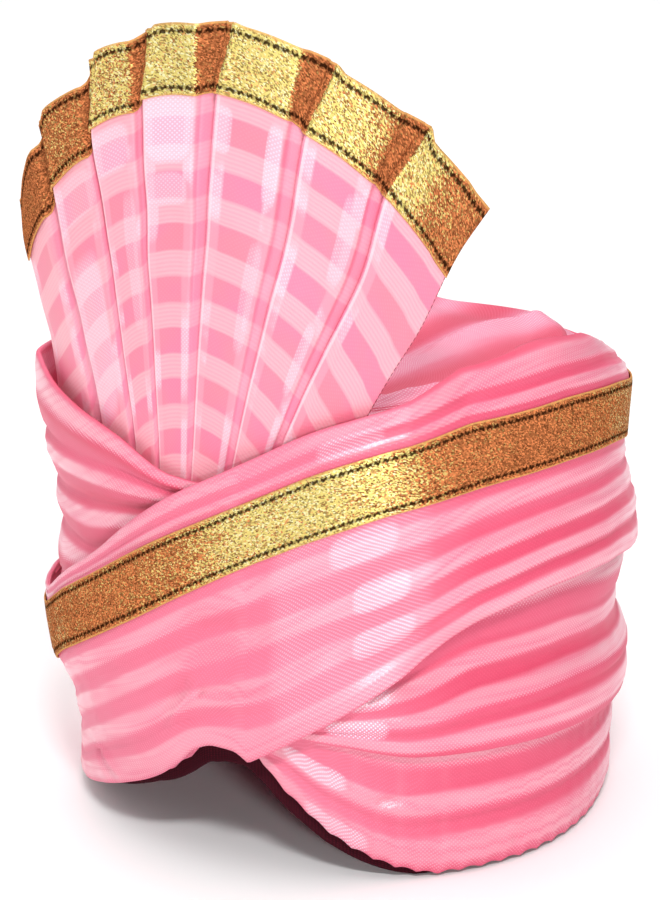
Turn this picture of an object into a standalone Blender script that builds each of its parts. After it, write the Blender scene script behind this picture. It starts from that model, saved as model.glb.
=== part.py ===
"""A tied turban (pagri) of pink net cloth.

Wraps of pleated cloth are wound over a soft cap, a gold lace runs along the front wrap, and a pleated
fan with a lace edge stands up out of the crossing at the forehead.

Axes: +Z is up, the forehead faces -Y and +X is the wearer's left. The origin is the middle of the rim, on
the surface that the turban rests on. Lengths are in millimetres until a point is placed, in metres.
A place on the turban is a bearing and a height. The bearing is in degrees, 0 at the forehead, and grows
towards +X, so 90 is the wearer's left side and 180 the back.
"""

import math

import bmesh
import bpy
import numpy as np

MM = 0.001

# The cap that everything is wound on: half its width, its flare, and how much longer it is than wide.
RIM_HALF_WIDTH = 88.5
FLARE_PER_MM = 6.5 / 150
EXTRA_HALF_LENGTH = 8.0
CAP_THICK = 2.5
SHOULDER = 16.0
CROWN_HEIGHT = 159.0
CROWN_TILT = 9.5
CROWN_HIGH_BEARING = 55.0
CROWN_DOME = 4.0
CROWN_SWELL = 5.0
CROWN_SWELL_BEARING = 150.0
CROWN_GATHERS = 16
GATHER_DEPTH = 0.8

# Where the whole turban puffs out to one side, and by how much at each of these heights.
PUFF_HEIGHTS = (0.0, 45.0, 90.0, 135.0, 180.0)
PUFFS = (
    # bearing, spread, how far out at those heights
    (68.0, 30.0, (6.5, 3.5, 0.0, 0.0, 0.0)),
    (112.0, 35.0, (0.0, -0.5, -1.0, -1.5, 0.0)),
    (-70.0, 26.0, (2.5, 0.0, 3.0, 6.0, 0.0)),
)

# Cloth laid over cloth.
GAP = 0.6
HEM_LIFT = 0.6
LACE_THICK = 0.8
LEAN_HEIGHT = 17.0

# Where a wrap's lower edge leaves the rim, it climbs at this rate, from so many degrees before the first
# bearing at which its table gives a height.
EDGE_DROP_PER_DEGREE = 1.1
EDGE_DROP_REACH = 16.0

COLUMN_STEP = 7.5

# The fan: where it leaves the wraps, how far it stands off the cap there, and how it opens outwards.
FAN_FOOT = 141.0
FAN_REF = 160.0
FAN_STAND_OFF = 3.6
FAN_THICK = 1.0
FAN_OPEN = 0.07
FAN_OPEN_AT_SIDES = 0.17
FAN_MIDDLE = 5.0
FAN_BEND_HEIGHT = 154.0
FAN_BEND_SOFTNESS = 6.0
FAN_LACE_DEPTH = 23.5
FAN_RELIEF_FOOT = 0.9
FAN_RELIEF_TOP = 3.4
FAN_BODY_ROWS = 5
FAN_LACE_ROWS = 2

# The edge of the rim, which arches up over the forehead.
RIM_ARCH = np.array([
    # bearing, height
    (-76.0, 0.0),
    (-60.0, 4.0),
    (-48.0, 9.0),
    (-40.0, 13.5),
    (-27.0, 22.0),
    (-16.0, 31.0),
    (-9.0, 40.0),
    (-4.0, 48.0),
    (0.0, 50.0),
    (3.5, 49.0),
    (7.0, 43.0),
    (13.0, 34.0),
    (18.0, 26.0),
    (23.0, 18.0),
    (32.0, 8.0),
    (38.0, 3.5),
    (45.0, 0.0),
])

# How far the cap's own edge reaches below the wraps around that arch.
CAP_EDGE_SHOWS = (
    # bearing, how far
    (-62.0, 0.0),
    (-40.0, 0.8),
    (-20.0, 1.6),
    (-8.0, 3.6),
    (0.0, 5.0),
    (6.0, 5.0),
    (15.0, 4.0),
    (25.0, 2.6),
    (40.0, 1.0),
    (52.0, 0.0),
)

# Each wrap is a band of pleats. A row gives the heights, at one bearing, of its lower edge, of the folds
# between its pleats, and of its upper edge. None stands for the rim. Full is how far its pleats stand out.
LOWER_WRAP = (
    # bearing, full, lower edge, fold, fold, upper edge
    (-180, 1.0, None, 17, 34, 52),
    (-120, 1.0, None, 17, 34, 52),
    (-95, 0.2, None, 17, 34, 52),
    (-58, 0.2, None, 18, 34, 54),
    (-27, 0.2, None, 33, 44, 57),
    (0, 0.2, None, 54, 58, 63),
    (12, 0.6, None, 46, 55, 66),
    (23, 0.9, None, 32, 46, 65),
    (40, 1.0, None, 20, 36, 58),
    (55, 1.0, None, 21, 36, 56),
    (75, 1.0, None, 20, 35, 54),
    (112, 1.0, None, 18, 33, 49),
    (150, 1.0, None, 17, 34, 50),
)
MIDDLE_WRAP = (
    # bearing, full, lower edge, fold, fold, fold, upper edge
    (-180, 1.0, 42, 54, 66, 79, 91),
    (-120, 1.0, 43, 54, 66, 78, 89),
    (-95, 0.2, 44, 54, 65, 76, 86),
    (-60, 0.2, 46, 55, 65, 75, 84),
    (0, 0.2, 54, 59, 64, 69, 75),
    (16, 0.4, 56, 60, 64, 68, 75),
    (26, 0.7, 53.5, 59, 65, 72, 80),
    (40, 1.0, 48.5, 57, 67, 78, 92),
    (55, 1.0, 47, 59, 72, 86, 104),
    (75, 1.0, 44.5, 58, 71, 85, 107),
    (100, 1.0, 40, 53, 66, 79, 97),
    (112, 1.0, 38, 51, 64, 78, 94),
    (145, 1.0, 39, 52, 65, 78, 90),
)
LEFT_WRAP = (
    # bearing, full, lower edge, fold, fold, fold, fold, upper edge
    (-180, 1.0, 76, 92, 106, 121, 137, 153.5),
    (-120, 1.0, 70, 88, 103, 120, 139, 165),
    (-80, 1.0, 64, 85, 102, 119, 140, 170),
    (-58, 1.0, 62, 84, 104, 120.5, 141, 171),
    (-40, 1.0, 76, 91, 106, 125, 142, 164),
    (-22, 1.0, 96, 105, 117, 130, 144, 157.5),
    (-8, 1.0, 108, 116, 125, 134, 142, 148),
    (8, 0.4, 108, 116, 124, 132, 140, 147),
    (30, 0.2, 104, 113, 122, 131, 140, 150),
    (70, 0.2, 104, 114, 124, 134, 144, 154),
    (120, 0.2, 100, 111, 122, 133, 143, 153),
    (150, 0.3, 92, 105, 117, 129, 140, 149),
    (165, 0.6, 84, 98, 111, 124, 137, 151),
)
FRONT_WRAP = (
    # bearing, full, lower edge, three folds, lace's lower and upper edge, fold, upper edge
    (-110, 0.6, None, 12, 24, 36, 47, 67, 70, 74),
    (-80, 1.0, None, 13, 26, 38, 48.5, 70.5, 73, 76),
    (-58, 1.0, None, 14, 27, 40, 51, 74.5, 77, 80),
    (-40, 1.0, None, 27, 40, 54, 67.5, 92.5, 95.5, 99.5),
    (-20, 1.0, None, 44, 60, 75, 89, 115, 119, 125),
    (-5, 1.0, None, 60, 75, 91, 106, 131.5, 137, 145),
    (10, 1.0, None, 67, 85, 104, 121.5, 146.5, 152, 160),
    (23, 1.0, 64, 80, 97, 114, 132.5, 157.5, 163, 171.5),
    (37, 1.0, 80, 93, 107, 123, 140.5, 164.5, 170, 179),
    (53, 1.0, 96.5, 107, 118, 130, 144.5, 168.5, 175, 185),
    (70, 1.0, 101.5, 111, 121, 132, 144.5, 168.5, 176, 186),
    (90, 1.0, 99, 109, 119, 130, 141, 164.5, 172, 181),
    (112, 1.0, 91, 102, 113, 124, 132, 155.5, 162, 168.5),
    (145, 1.0, 84, 95, 106, 117, 125, 147, 152.5, 158.5),
    (187, 0.8, 82, 92, 103, 113, 121, 144, 149.5, 155.5),
)
LACE_LOWER = 6
LACE_UPPER = 7

# How far a wrap's upper edge leans in over the shoulder of the cap.
LEFT_LEAN = ((-180, 12.0), (-120, 11.0), (-85, 8.0), (-66, 5.0), (-54, 0.0), (140, 0.0), (160, 8.0), (180, 12.0))
FRONT_LEAN = ((-110, 0.0), (33, 0.0), (50, 8.0), (90, 14.0), (112, 15.0), (150, 13.0), (187, 11.0))

# The fan's panels. A row gives the bearing of the panel's fold at the reference height, how far the fold
# bows to the right on its way up, and the bearing and height of the two ends of its outer edge.
FAN_PANELS = (
    # bearing at foot, bow, left bearing, left height, right bearing, right height
    (-49.5, 0.0, -43.5, 232, -34.0, 254),
    (-29.0, 0.0, -31.6, 265, -20.4, 280),
    (-18.7, 0.0, -19.0, 290, -10.0, 298),
    (-12.2, 0.0, -7.6, 303, 2.4, 306),
    (-4.0, 0.4, 6.8, 307.5, 19.5, 300),
    (5.0, 2.8, 22.8, 295.5, 34.4, 280),
    (13.5, 5.4, 36.8, 275, 48.3, 246),
)
FAN_END_AT_FOOT = 26.3
FAN_END_BOW = 3.2

PINK = (0.90, 0.27, 0.42, 1.0)
DEEP_PINK = (0.78, 0.16, 0.30, 1.0)
GOLD = (0.72, 0.45, 0.12, 1.0)


def clear_scene():
    for thing in list(bpy.data.objects):
        bpy.data.objects.remove(thing, do_unlink=True)


def smoothstep(low, high, x):
    t = np.clip((np.asarray(x, float) - low) / (high - low), 0.0, 1.0)
    return t * t * (3.0 - 2.0 * t)


def through(knots, values, at):
    """A smooth curve through the knots, which never swings past its neighbours."""
    knots = np.asarray(knots, float)
    values = np.asarray(values, float)
    at = np.clip(np.asarray(at, float), knots[0], knots[-1])
    step = np.diff(knots)
    rise = np.diff(values) / step
    slope = np.zeros(len(knots))
    slope[0] = rise[0]
    slope[-1] = rise[-1]
    flat = rise[:-1] * rise[1:] <= 0.0
    weight_a = 2.0 * step[1:] + step[:-1]
    weight_b = step[1:] + 2.0 * step[:-1]
    with np.errstate(divide="ignore", invalid="ignore"):
        mean = (weight_a + weight_b) / (weight_a / rise[:-1] + weight_b / rise[1:])
    slope[1:-1] = np.where(flat, 0.0, mean)
    k = np.clip(np.searchsorted(knots, at, side="right") - 1, 0, len(step) - 1)
    t = (at - knots[k]) / step[k]
    held = values[k] * (1 + 2 * t) * (1 - t) ** 2 + values[k + 1] * t * t * (3 - 2 * t)
    turned = step[k] * (slope[k] * t * (1 - t) ** 2 - slope[k + 1] * t * t * (1 - t))
    return held + turned


def whole_turn(bearing):
    """The same bearing between -180 and 180."""
    return (np.asarray(bearing, float) + 180.0) % 360.0 - 180.0


def round_and_round(rows, column, bearing):
    """A table's column at any bearing, where the table goes all the way round."""
    first = [(row[0] + 360.0, row[column]) for row in rows[:2]]
    last = [(row[0] - 360.0, row[column]) for row in rows[-2:]]
    knots, values = zip(*(last + [(row[0], row[column]) for row in rows] + first))
    return through(knots, values, whole_turn(bearing))


def rim_height(bearing):
    return through(RIM_ARCH[:, 0], RIM_ARCH[:, 1], whole_turn(bearing))


def crown_swell(bearing, share):
    """How much higher the crown lies towards the back, at a share of the way out to its edge."""
    towards_back = 0.5 + 0.5 * np.cos(np.radians(bearing - CROWN_SWELL_BEARING))
    return CROWN_SWELL * towards_back * np.sin(np.pi * share ** 1.5)


def cap_edge(bearing):
    shows = np.interp(whole_turn(bearing), *zip(*CAP_EDGE_SHOWS))
    return np.maximum(rim_height(bearing) - shows, 0.0)


def half_width(height):
    return RIM_HALF_WIDTH + FLARE_PER_MM * np.asarray(height, float)


def puff(bearing, height):
    total = 0.0
    for middle, spread, amounts in PUFFS:
        side = np.exp(-((whole_turn(bearing) - middle) / spread) ** 2)
        total = total + side * through(PUFF_HEIGHTS, amounts, height)
    return total


def place(bearing, height, out):
    """The point in metres at a bearing and height, standing out from the cap's wall by so many millimetres."""
    turn = np.radians(bearing)
    half = half_width(height) + puff(bearing, height) + out
    return (
        half * np.sin(turn) * MM,
        -(half + EXTRA_HALF_LENGTH) * np.cos(turn) * MM,
        height * MM,
    )


def lean_in(amount, height, top):
    """How far a surface has come in by this height, where it rounds over towards its top."""
    q = np.clip((height - (top - LEAN_HEIGHT)) / LEAN_HEIGHT, 0.0, 1.0)
    return amount * (1.0 - np.sqrt(1.0 - q * q))


def over_shoulder(clear, height, crown):
    """How far out the cap's shoulder lets a cloth lie that keeps this clear of it."""
    rise = np.maximum(height - (crown - SHOULDER), 0.0)
    return np.sqrt(np.maximum((SHOULDER + clear) ** 2 - rise ** 2, 0.0)) - SHOULDER


def crown_height(bearing):
    return CROWN_HEIGHT + CROWN_TILT * np.cos(np.radians(bearing - CROWN_HIGH_BEARING))


class Envelope:
    """How far the cloth laid so far stands out from the cap, on a grid of bearings and heights."""

    STEP_DEGREES = 2.5
    STEP_MM = 2.0
    TOP = 200.0
    REACH_DEGREES = 3
    REACH_MM = 4

    def __init__(self):
        self.bearings = np.arange(-180.0, 180.0, self.STEP_DEGREES)
        self.heights = np.arange(0.0, self.TOP, self.STEP_MM)
        self.grid_bearing, self.grid_height = np.meshgrid(self.bearings, self.heights)
        self.out = np.zeros_like(self.grid_bearing)

    def add(self, covered, out):
        self.out = np.where(covered, np.maximum(self.out, out), self.out)

    def draped(self):
        """What a new layer rests on: the highest point near each place, with soft steps between."""
        spread = self.out
        for axis, reach in ((1, self.REACH_DEGREES), (0, self.REACH_MM)):
            spread = self._shifted(spread, axis, reach).max(axis=0)
        for axis, reach in ((1, self.REACH_DEGREES), (0, self.REACH_MM)):
            spread = self._shifted(spread, axis, reach - 1).mean(axis=0)
        return spread

    def _shifted(self, grid, axis, reach):
        copies = []
        for shift in range(-reach, reach + 1):
            if axis == 1:
                copies.append(np.roll(grid, shift, axis=1))
            else:
                rows = np.clip(np.arange(len(self.heights)) + shift, 0, len(self.heights) - 1)
                copies.append(grid[rows])
        return np.array(copies)

    def read(self, grid, bearing, height):
        x = (whole_turn(bearing) - self.bearings[0]) / self.STEP_DEGREES
        y = np.clip(height / self.STEP_MM, 0.0, len(self.heights) - 1.001)
        left = np.floor(x).astype(int)
        low = np.floor(y).astype(int)
        fx = x - left
        fy = y - low
        right = (left + 1) % len(self.bearings)
        left = left % len(self.bearings)
        near = grid[low, left] * (1 - fx) + grid[low, right] * fx
        far = grid[low + 1, left] * (1 - fx) + grid[low + 1, right] * fx
        return near * (1 - fy) + far * fy


class Wrap:
    """A band of pleated cloth around the turban, laid over what the envelope holds so far."""

    def __init__(self, rows, envelope, thick, depth, lean=None, ends=None, sub=2):
        self.ring = ends is None
        self.ends = ends or (-180.0, 180.0)
        self.lean = lean
        self.thick = thick
        self.depth = depth
        self.sub = sub
        self.envelope = envelope
        self.rows = rows
        self.base = envelope.draped() + GAP
        low = self.edge(0, envelope.grid_bearing)
        high = self.edge(-1, envelope.grid_bearing)
        covered = (envelope.grid_height > low - 3.0) & (envelope.grid_height < high + 3.0)
        covered &= self.spans(envelope.grid_bearing)
        full = self.column(1, envelope.grid_bearing)
        envelope.add(covered, self.base + thick + depth * full)

    def spans(self, bearing):
        start, end = self.ends
        return self.ring | ((bearing - start) % 360.0 <= end - start)

    def column(self, index, bearing):
        if self.ring:
            return round_and_round(self.rows, index, bearing)
        start = self.ends[0]
        unrolled = (np.asarray(bearing, float) - start) % 360.0 + start
        return through([row[0] for row in self.rows], [row[index] for row in self.rows], unrolled)

    def edge(self, index, bearing):
        """The height of one of the band's folds, counted from its lower edge."""
        column = index + 2 if index >= 0 else len(self.rows[0]) + index
        values = [row[column] for row in self.rows]
        if None not in values:
            return self.column(column, bearing)
        # Where the table gives no height, the band ends at the rim.
        rim = rim_height(bearing) + HEM_LIFT
        known = [(row[0], row[column]) for row in self.rows if row[column] is not None]
        if not known:
            return rim
        own = through([row[0] for row in known], [row[1] for row in known], bearing)
        before = known[0][0] - np.asarray(bearing, float)
        run_down = own - np.maximum(before, 0.0) * EDGE_DROP_PER_DEGREE
        return np.where(before > EDGE_DROP_REACH, rim, np.maximum(rim, run_down))

    def levels(self, bearing):
        """The heights of every row of the mesh at these bearings, and how far each pleat stands out there."""
        folds = [self.edge(i, bearing) for i in range(len(self.rows[0]) - 2)]
        heights = [folds[0]]
        stands = [np.zeros_like(bearing)]
        for low, high in zip(folds[:-1], folds[1:]):
            for k in range(1, self.sub + 1):
                t = k / self.sub
                heights.append(low + (high - low) * t)
                stands.append(np.full_like(bearing, math.sin(math.pi * t) ** 0.8 if t < 1 else 0.0))
        return np.array(heights), np.array(stands)

    def out(self, bearing, height, stand):
        base = self.envelope.read(self.base, bearing, height)
        full = self.column(1, bearing)
        out = base + self.thick + self.depth * full * stand
        if self.lean is not None:
            amount = np.interp(whole_turn(bearing) if self.ring else bearing, *zip(*self.lean))
            least = over_shoulder(base + self.thick, height, crown_height(bearing))
            out = np.maximum(out - lean_in(amount, height, self.edge(-1, bearing)), least)
        return out


def material(name, colour, roughness, metallic=0.0):
    made = bpy.data.materials.new(name)
    made.use_nodes = True
    shader = made.node_tree.nodes["Principled BSDF"]
    shader.inputs["Base Color"].default_value = colour
    shader.inputs["Roughness"].default_value = roughness
    shader.inputs["Metallic"].default_value = metallic
    return made


def sheet(name, collection, columns, rows, where, thick, finish, closed=False):
    """An object of cloth: a grid of columns and rows that where() puts in place, thickened inwards."""
    surface = bmesh.new()
    bmesh.ops.create_grid(surface, x_segments=columns, y_segments=rows, size=0.5)
    for vertex in surface.verts:
        column = round((vertex.co.x + 0.5) * columns)
        row = round((vertex.co.y + 0.5) * rows)
        vertex.co = where(column, row)
    if closed:
        bmesh.ops.remove_doubles(surface, verts=surface.verts, dist=1e-6)
    mesh = bpy.data.meshes.new(name)
    surface.to_mesh(mesh)
    surface.free()
    mesh.materials.append(finish)
    mesh.shade_smooth()
    made = bpy.data.objects.new(name, mesh)
    collection.objects.link(made)
    shell = made.modifiers.new("Thickness", "SOLIDIFY")
    shell.thickness = thick * MM
    shell.offset = -1.0
    return made


def even_bearings(start, end):
    return np.linspace(start, end, round((end - start) / COLUMN_STEP) + 1)


def make_wrap(name, collection, wrap, finish):
    bearings = even_bearings(*wrap.ends)
    heights, stands = wrap.levels(bearings)
    outs = wrap.out(np.broadcast_to(bearings, heights.shape), heights, stands)
    points = np.stack(place(bearings, heights, outs), axis=-1)
    return sheet(
        name, collection, len(bearings) - 1, len(heights) - 1,
        lambda column, row: points[row, column], wrap.thick, finish, wrap.ring,
    )


def make_lace(name, collection, wrap, finish):
    """The lace lies on the wrap's flat stretch between two of its folds."""
    bearings = even_bearings(*wrap.ends)
    low = wrap.column(LACE_LOWER, bearings)
    high = wrap.column(LACE_UPPER, bearings)
    heights = np.array([low + 0.6, (low + high) / 2, high - 0.6])
    level = np.array([0.0, 1.0, 0.0])[:, None] * np.ones_like(bearings)
    outs = wrap.out(np.broadcast_to(bearings, heights.shape), heights, level) + GAP + LACE_THICK
    points = np.stack(place(bearings, heights, outs), axis=-1)
    return sheet(
        name, collection, len(bearings) - 1, len(heights) - 1,
        lambda column, row: points[row, column], LACE_THICK, finish,
    )


def make_cap(collection, finish):
    """The cap's wall, its round shoulder and its gathered crown, one sheet from the rim to the middle."""
    bearings = even_bearings(-180.0, 180.0)
    wall = (0.0, 0.16, 0.32, 0.5, 0.7, 0.9, 1.0)
    shoulder = (30.0, 60.0, 90.0)
    crown = (0.72, 0.44, 0.2, 0.0)

    def where(column, row):
        bearing = bearings[column]
        top = float(crown_height(bearing))
        rim = float(cap_edge(bearing))
        if row < len(wall):
            height = rim + (top - SHOULDER - rim) * wall[row]
            return place(bearing, height, 0.0)
        row -= len(wall)
        if row < len(shoulder):
            angle = math.radians(shoulder[row])
            height = top - SHOULDER + SHOULDER * math.sin(angle)
            return place(bearing, height, -SHOULDER * (1.0 - math.cos(angle)))
        share = crown[row - len(shoulder)]
        edge = place(bearing, top, -SHOULDER)
        level = share * top + (1.0 - share) * CROWN_HEIGHT
        dome = CROWN_DOME * (1.0 - share * share)
        gather = GATHER_DEPTH * share * math.cos(math.radians(bearing * CROWN_GATHERS))
        swell = float(crown_swell(bearing, share))
        return (edge[0] * share, edge[1] * share, (level + dome + gather + swell) * MM)

    rows = len(wall) + len(shoulder) + len(crown)
    made = sheet(
        "crown_cap", collection, len(bearings) - 1, rows - 1, where, CAP_THICK, finish, closed=True,
    )
    return flat_rim(made)


def flat_rim(made):
    """Applies the thickness and sets the rim's standing stretch level, so that it rests flat."""
    graph = bpy.context.evaluated_depsgraph_get()
    solid = bpy.data.meshes.new_from_object(made.evaluated_get(graph))
    made.modifiers.clear()
    made.data = solid
    for vertex in solid.vertices:
        if abs(vertex.co.z) < 1.0 * MM:
            vertex.co.z = 0.0
    return made


def fan_half_width(bearing, height):
    opening = FAN_OPEN + FAN_OPEN_AT_SIDES * (1.0 - np.cos(np.radians(1.6 * (bearing - FAN_MIDDLE))))
    bend = FAN_BEND_SOFTNESS * np.log1p(np.exp((height - FAN_BEND_HEIGHT) / FAN_BEND_SOFTNESS))
    return FAN_STAND_OFF + opening * bend


def fan_columns(valley_at, valley_stand):
    """The fan's columns from left to right: bearing at the reference height, bow, bearing and height of
    the outer end, and how far the column stands forward of the fan's middle, from -1 to 1. The valley
    beside each fold lies at a share of the panel's width."""
    columns = []
    ends = [panel[:2] for panel in FAN_PANELS] + [(FAN_END_AT_FOOT, FAN_END_BOW)]
    for k, (foot, bow, left, left_top, right, right_top) in enumerate(FAN_PANELS):
        width = ends[k + 1][0] - foot
        more_bow = ends[k + 1][1] - bow
        places = [(0.0, left, left_top, 1.0)]
        places.append((0.4, (left + right) / 2, (left_top + right_top) / 2 + 1.0, 0.75))
        if k + 1 == len(FAN_PANELS):
            places.append((1.0, right, right_top, 0.6))
        else:
            places.append((0.8, right, right_top, 0.6))
            next_left, next_top = FAN_PANELS[k + 1][2:4]
            share = (valley_at - 0.8) / 0.2
            valley = (right + (next_left - right) * share, right_top + (next_top - right_top) * share)
            places.append((valley_at, *valley, valley_stand))
        for across, bearing, top, stand in places:
            columns.append((foot + across * width, bow + across * more_bow, bearing, top, stand))
    return np.array(columns)


def fan_point(column, share, out):
    """A point on the fan's front, at a share of the way from its foot to its outer edge."""
    foot, bow, top_bearing, top, stand = column
    lean = (top_bearing - foot) / (top - FAN_REF)
    height = FAN_FOOT + (top - FAN_FOOT) * share
    bowed = math.sin(math.pi * share * share) * (1.0 - smoothstep(0.7, 0.95, share))
    bearing = foot + lean * (height - FAN_REF) + bow * bowed
    relief = FAN_RELIEF_FOOT + (FAN_RELIEF_TOP - FAN_RELIEF_FOOT) * smoothstep(0.05, 0.9, share)
    return place(bearing, height, fan_half_width(bearing, height) + relief * (stand - 1.0) * 0.5 + out)


def lace_share(column, row):
    """The share of the fan's height at a row of its lace, row 0 being the lace's lower edge."""
    start = 1.0 - FAN_LACE_DEPTH / (column[3] - FAN_FOOT)
    return start + (1.0 - start) * row / FAN_LACE_ROWS


def make_fan(collection, finish):
    columns = fan_columns(0.97, -1.0)

    def where(column, row):
        if row < FAN_BODY_ROWS:
            share = lace_share(columns[column], 0) * row / FAN_BODY_ROWS
        else:
            share = lace_share(columns[column], row - FAN_BODY_ROWS)
        return fan_point(columns[column], share, 0.0)

    rows = FAN_BODY_ROWS + FAN_LACE_ROWS
    return sheet("fan", collection, len(columns) - 1, rows, where, FAN_THICK, finish)


def make_fan_lace(collection, finish):
    columns = fan_columns(0.9, 0.35)

    def where(column, row):
        return fan_point(columns[column], lace_share(columns[column], row), GAP + LACE_THICK)

    return sheet("fan_lace", collection, len(columns) - 1, FAN_LACE_ROWS, where, LACE_THICK, finish)


def add_fan_foot(envelope):
    """Lets the wraps know where the foot of the fan stands under them."""
    bearing = envelope.grid_bearing
    height = envelope.grid_height
    covered = (bearing > FAN_PANELS[0][0] - 4.0) & (bearing < FAN_END_AT_FOOT + 10.0)
    covered &= height > FAN_FOOT - 3.0
    envelope.add(covered, fan_half_width(bearing, np.minimum(height, 190.0)))


def build():
    clear_scene()
    collection = bpy.data.collections.new("turban")
    bpy.context.scene.collection.children.link(collection)
    cap_cloth = material("cap_cloth", DEEP_PINK, 0.8)
    net = material("pink_net", PINK, 0.55)
    lace = material("gold_lace", GOLD, 0.35, 0.9)

    make_cap(collection, cap_cloth)
    envelope = Envelope()
    lower = Wrap(LOWER_WRAP, envelope, 2.0, 2.6)
    make_wrap("lower_wrap", collection, lower, net)
    middle = Wrap(MIDDLE_WRAP, envelope, 1.4, 2.6)
    make_wrap("middle_wrap", collection, middle, net)
    add_fan_foot(envelope)
    left = Wrap(LEFT_WRAP, envelope, 1.8, 2.8, lean=LEFT_LEAN)
    make_wrap("left_wrap", collection, left, net)
    front = Wrap(FRONT_WRAP, envelope, 1.6, 2.5, lean=FRONT_LEAN, ends=(-110.0, 187.0))
    make_wrap("front_wrap", collection, front, net)
    make_lace("lace_band", collection, front, lace)
    make_fan(collection, net)
    make_fan_lace(collection, lace)


build()
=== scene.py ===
"""The looks of a tied turban (pagri) of pink net cloth with gold lace and a pleated fan.

Lengths are in millimetres until a point is placed, in metres. A place on the turban is a bearing and a
height: the bearing is in degrees, 0 at the forehead (-Y), and grows towards +X.
"""

import dataclasses
import math

import bmesh
import bpy
import numpy as np
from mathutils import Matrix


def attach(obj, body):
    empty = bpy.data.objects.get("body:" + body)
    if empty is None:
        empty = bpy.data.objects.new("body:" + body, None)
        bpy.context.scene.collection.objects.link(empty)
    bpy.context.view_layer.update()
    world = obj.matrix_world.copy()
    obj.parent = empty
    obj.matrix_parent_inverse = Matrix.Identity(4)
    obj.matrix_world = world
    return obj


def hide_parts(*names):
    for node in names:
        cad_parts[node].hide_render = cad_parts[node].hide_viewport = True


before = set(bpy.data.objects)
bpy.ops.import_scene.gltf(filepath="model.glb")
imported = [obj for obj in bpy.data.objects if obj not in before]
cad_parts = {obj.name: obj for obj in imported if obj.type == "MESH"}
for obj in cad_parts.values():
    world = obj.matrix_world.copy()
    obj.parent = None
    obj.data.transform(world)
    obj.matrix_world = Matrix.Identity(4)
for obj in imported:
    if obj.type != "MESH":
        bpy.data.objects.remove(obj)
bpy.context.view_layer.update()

MM = 0.001

# Points nearer than this, in metres, are one, and an edge shorter than that has no length.
SAME_PLACE = 2e-6
NO_LENGTH = 1e-7

# The step between the wraps' columns.
STEP_DEGREES = 0.75

# The cap that everything is wound on: half its width, its flare, how much longer it is than wide, its round
# shoulder, its crown, which tilts, is domed and swells towards the back, and the rows of wall and shoulder.
RIM_HALF_WIDTH = 88.5
FLARE_PER_MM = 6.5 / 150
EXTRA_HALF_LENGTH = 8.0
CAP_THICK = 2.5
SHOULDER = 16.0
CROWN_HEIGHT = 159.0
CROWN_TILT = 9.5
CROWN_HIGH_BEARING = 55.0
CROWN_DOME = 4.0
CROWN_SWELL = 5.0
CROWN_SWELL_BEARING = 150.0
CROWN_SWELL_OUTWARD = 1.5
WALL_SHARES = np.arange(11) / 10
SHOULDER_DEGREES = np.arange(7.5, 90.1, 7.5)

# The cap's bound edge, coloured near black as painted shade, which ends so far above its lower edge, and the
# gap above it.
BOUND_EDGE_ROWS = (0.0, 0.3, 0.8, 1.6, 3.0, 5.0, 7.5, 11.0)
BOUND_EDGE_GAP = 0.6

# The folds of the crown, which fan out from the foot of the fan towards the back: where they start, in
# metres, how many a full turn would have, how they sway, and between which distances or shares of the way
# out they begin and end.
CROWN_FOLDS_FROM = (0.005, -0.125)
CROWN_FOLDS = 21.0
CROWN_FOLD_HEIGHT = 2.3
CROWN_FOLD_SHARPNESS = 0.7
CROWN_SWAY = 1.3
CROWN_SWAYS = 4.0
CROWN_SWAY_START = 0.6
CROWN_WANDER = 9.0
CROWN_WANDERS = 60.0
CROWN_FOLDS_BEGIN = (0.0, 0.05)
CROWN_FOLDS_END = (1.0, 0.9)

# How much higher the crown lies at its edge at the back, at what share of the way out and how widely.
CROWN_EDGE_RISE = 4.5
CROWN_EDGE_RISE_AT = 0.95
CROWN_EDGE_RISE_WIDE = 0.10
CROWN_OUTERMOST = 0.985
CROWN_ROWS = 46

# Where the whole turban puffs out to one side, and by how much at each of these heights.
PUFF_HEIGHTS = (0.0, 45.0, 70.0, 86.0, 96.0, 135.0, 180.0)
PUFFS = (
    # bearing, spread, how far out at those heights
    (68.0, 30.0, (6.5, 3.5, 1.4, 0.2, 0.0, 0.0, 0.0)),
    (115.0, 32.0, (3.0, 2.6, 2.0, 4.0, 0.8, -1.5, 0.0)),
    (-70.0, 26.0, (2.5, 0.0, 2.6, 4.3, 4.8, 7.0, 0.0)),
)

# Small creases where the cloth is pinned: in the front wrap over the forehead and at the crown, and in the
# lower wrap. A crease fades in over a share of its length, fades out over another, and widens on its way.
# Its length is measured so far out from the cap.
FRONT_CREASES = (
    # bearing, height at one end; bearing, height at the other; half width; how far out
    (-3.2, 72.7, -12.5, 50.0, 1.8, 2.0),
    (-5.5, 74.0, -15.5, 56.0, 2.0, -1.5),
    (-3.0, 73.5, 23.0, 94.5, 2.6, 1.3),
    (-3.0, 70.5, 20.0, 82.0, 2.0, -1.3),
    (-3.5, 69.5, 14.0, 70.0, 2.4, 0.7),
    (-3.2, 72.0, -1.5, 70.5, 2.2, -1.2),
    (-39.0, 31.0, -27.0, 24.0, 2.2, 1.0),
    (-41.0, 27.5, -29.0, 20.5, 2.0, -0.9),
    (116.8, 169.0, 116.8, 161.0, 1.6, -1.2),
    (114.0, 166.0, 104.0, 168.0, 2.2, 0.6),
)
LOWER_CREASES = (
    (32.8, 31.2, 38.0, 32.5, 1.8, -1.4),
    (34.0, 33.5, 46.0, 36.0, 2.2, 0.8),
    (34.0, 29.0, 48.0, 27.0, 2.2, 0.8),
    (61.9, 8.7, 66.0, 9.5, 1.8, -1.3),
    (58.0, 11.5, 46.0, 14.0, 2.2, 0.7),
    (58.0, 6.5, 48.0, 4.5, 2.0, 0.6),
)
CREASE_FADES_IN = (-0.15, 0.15)
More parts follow.
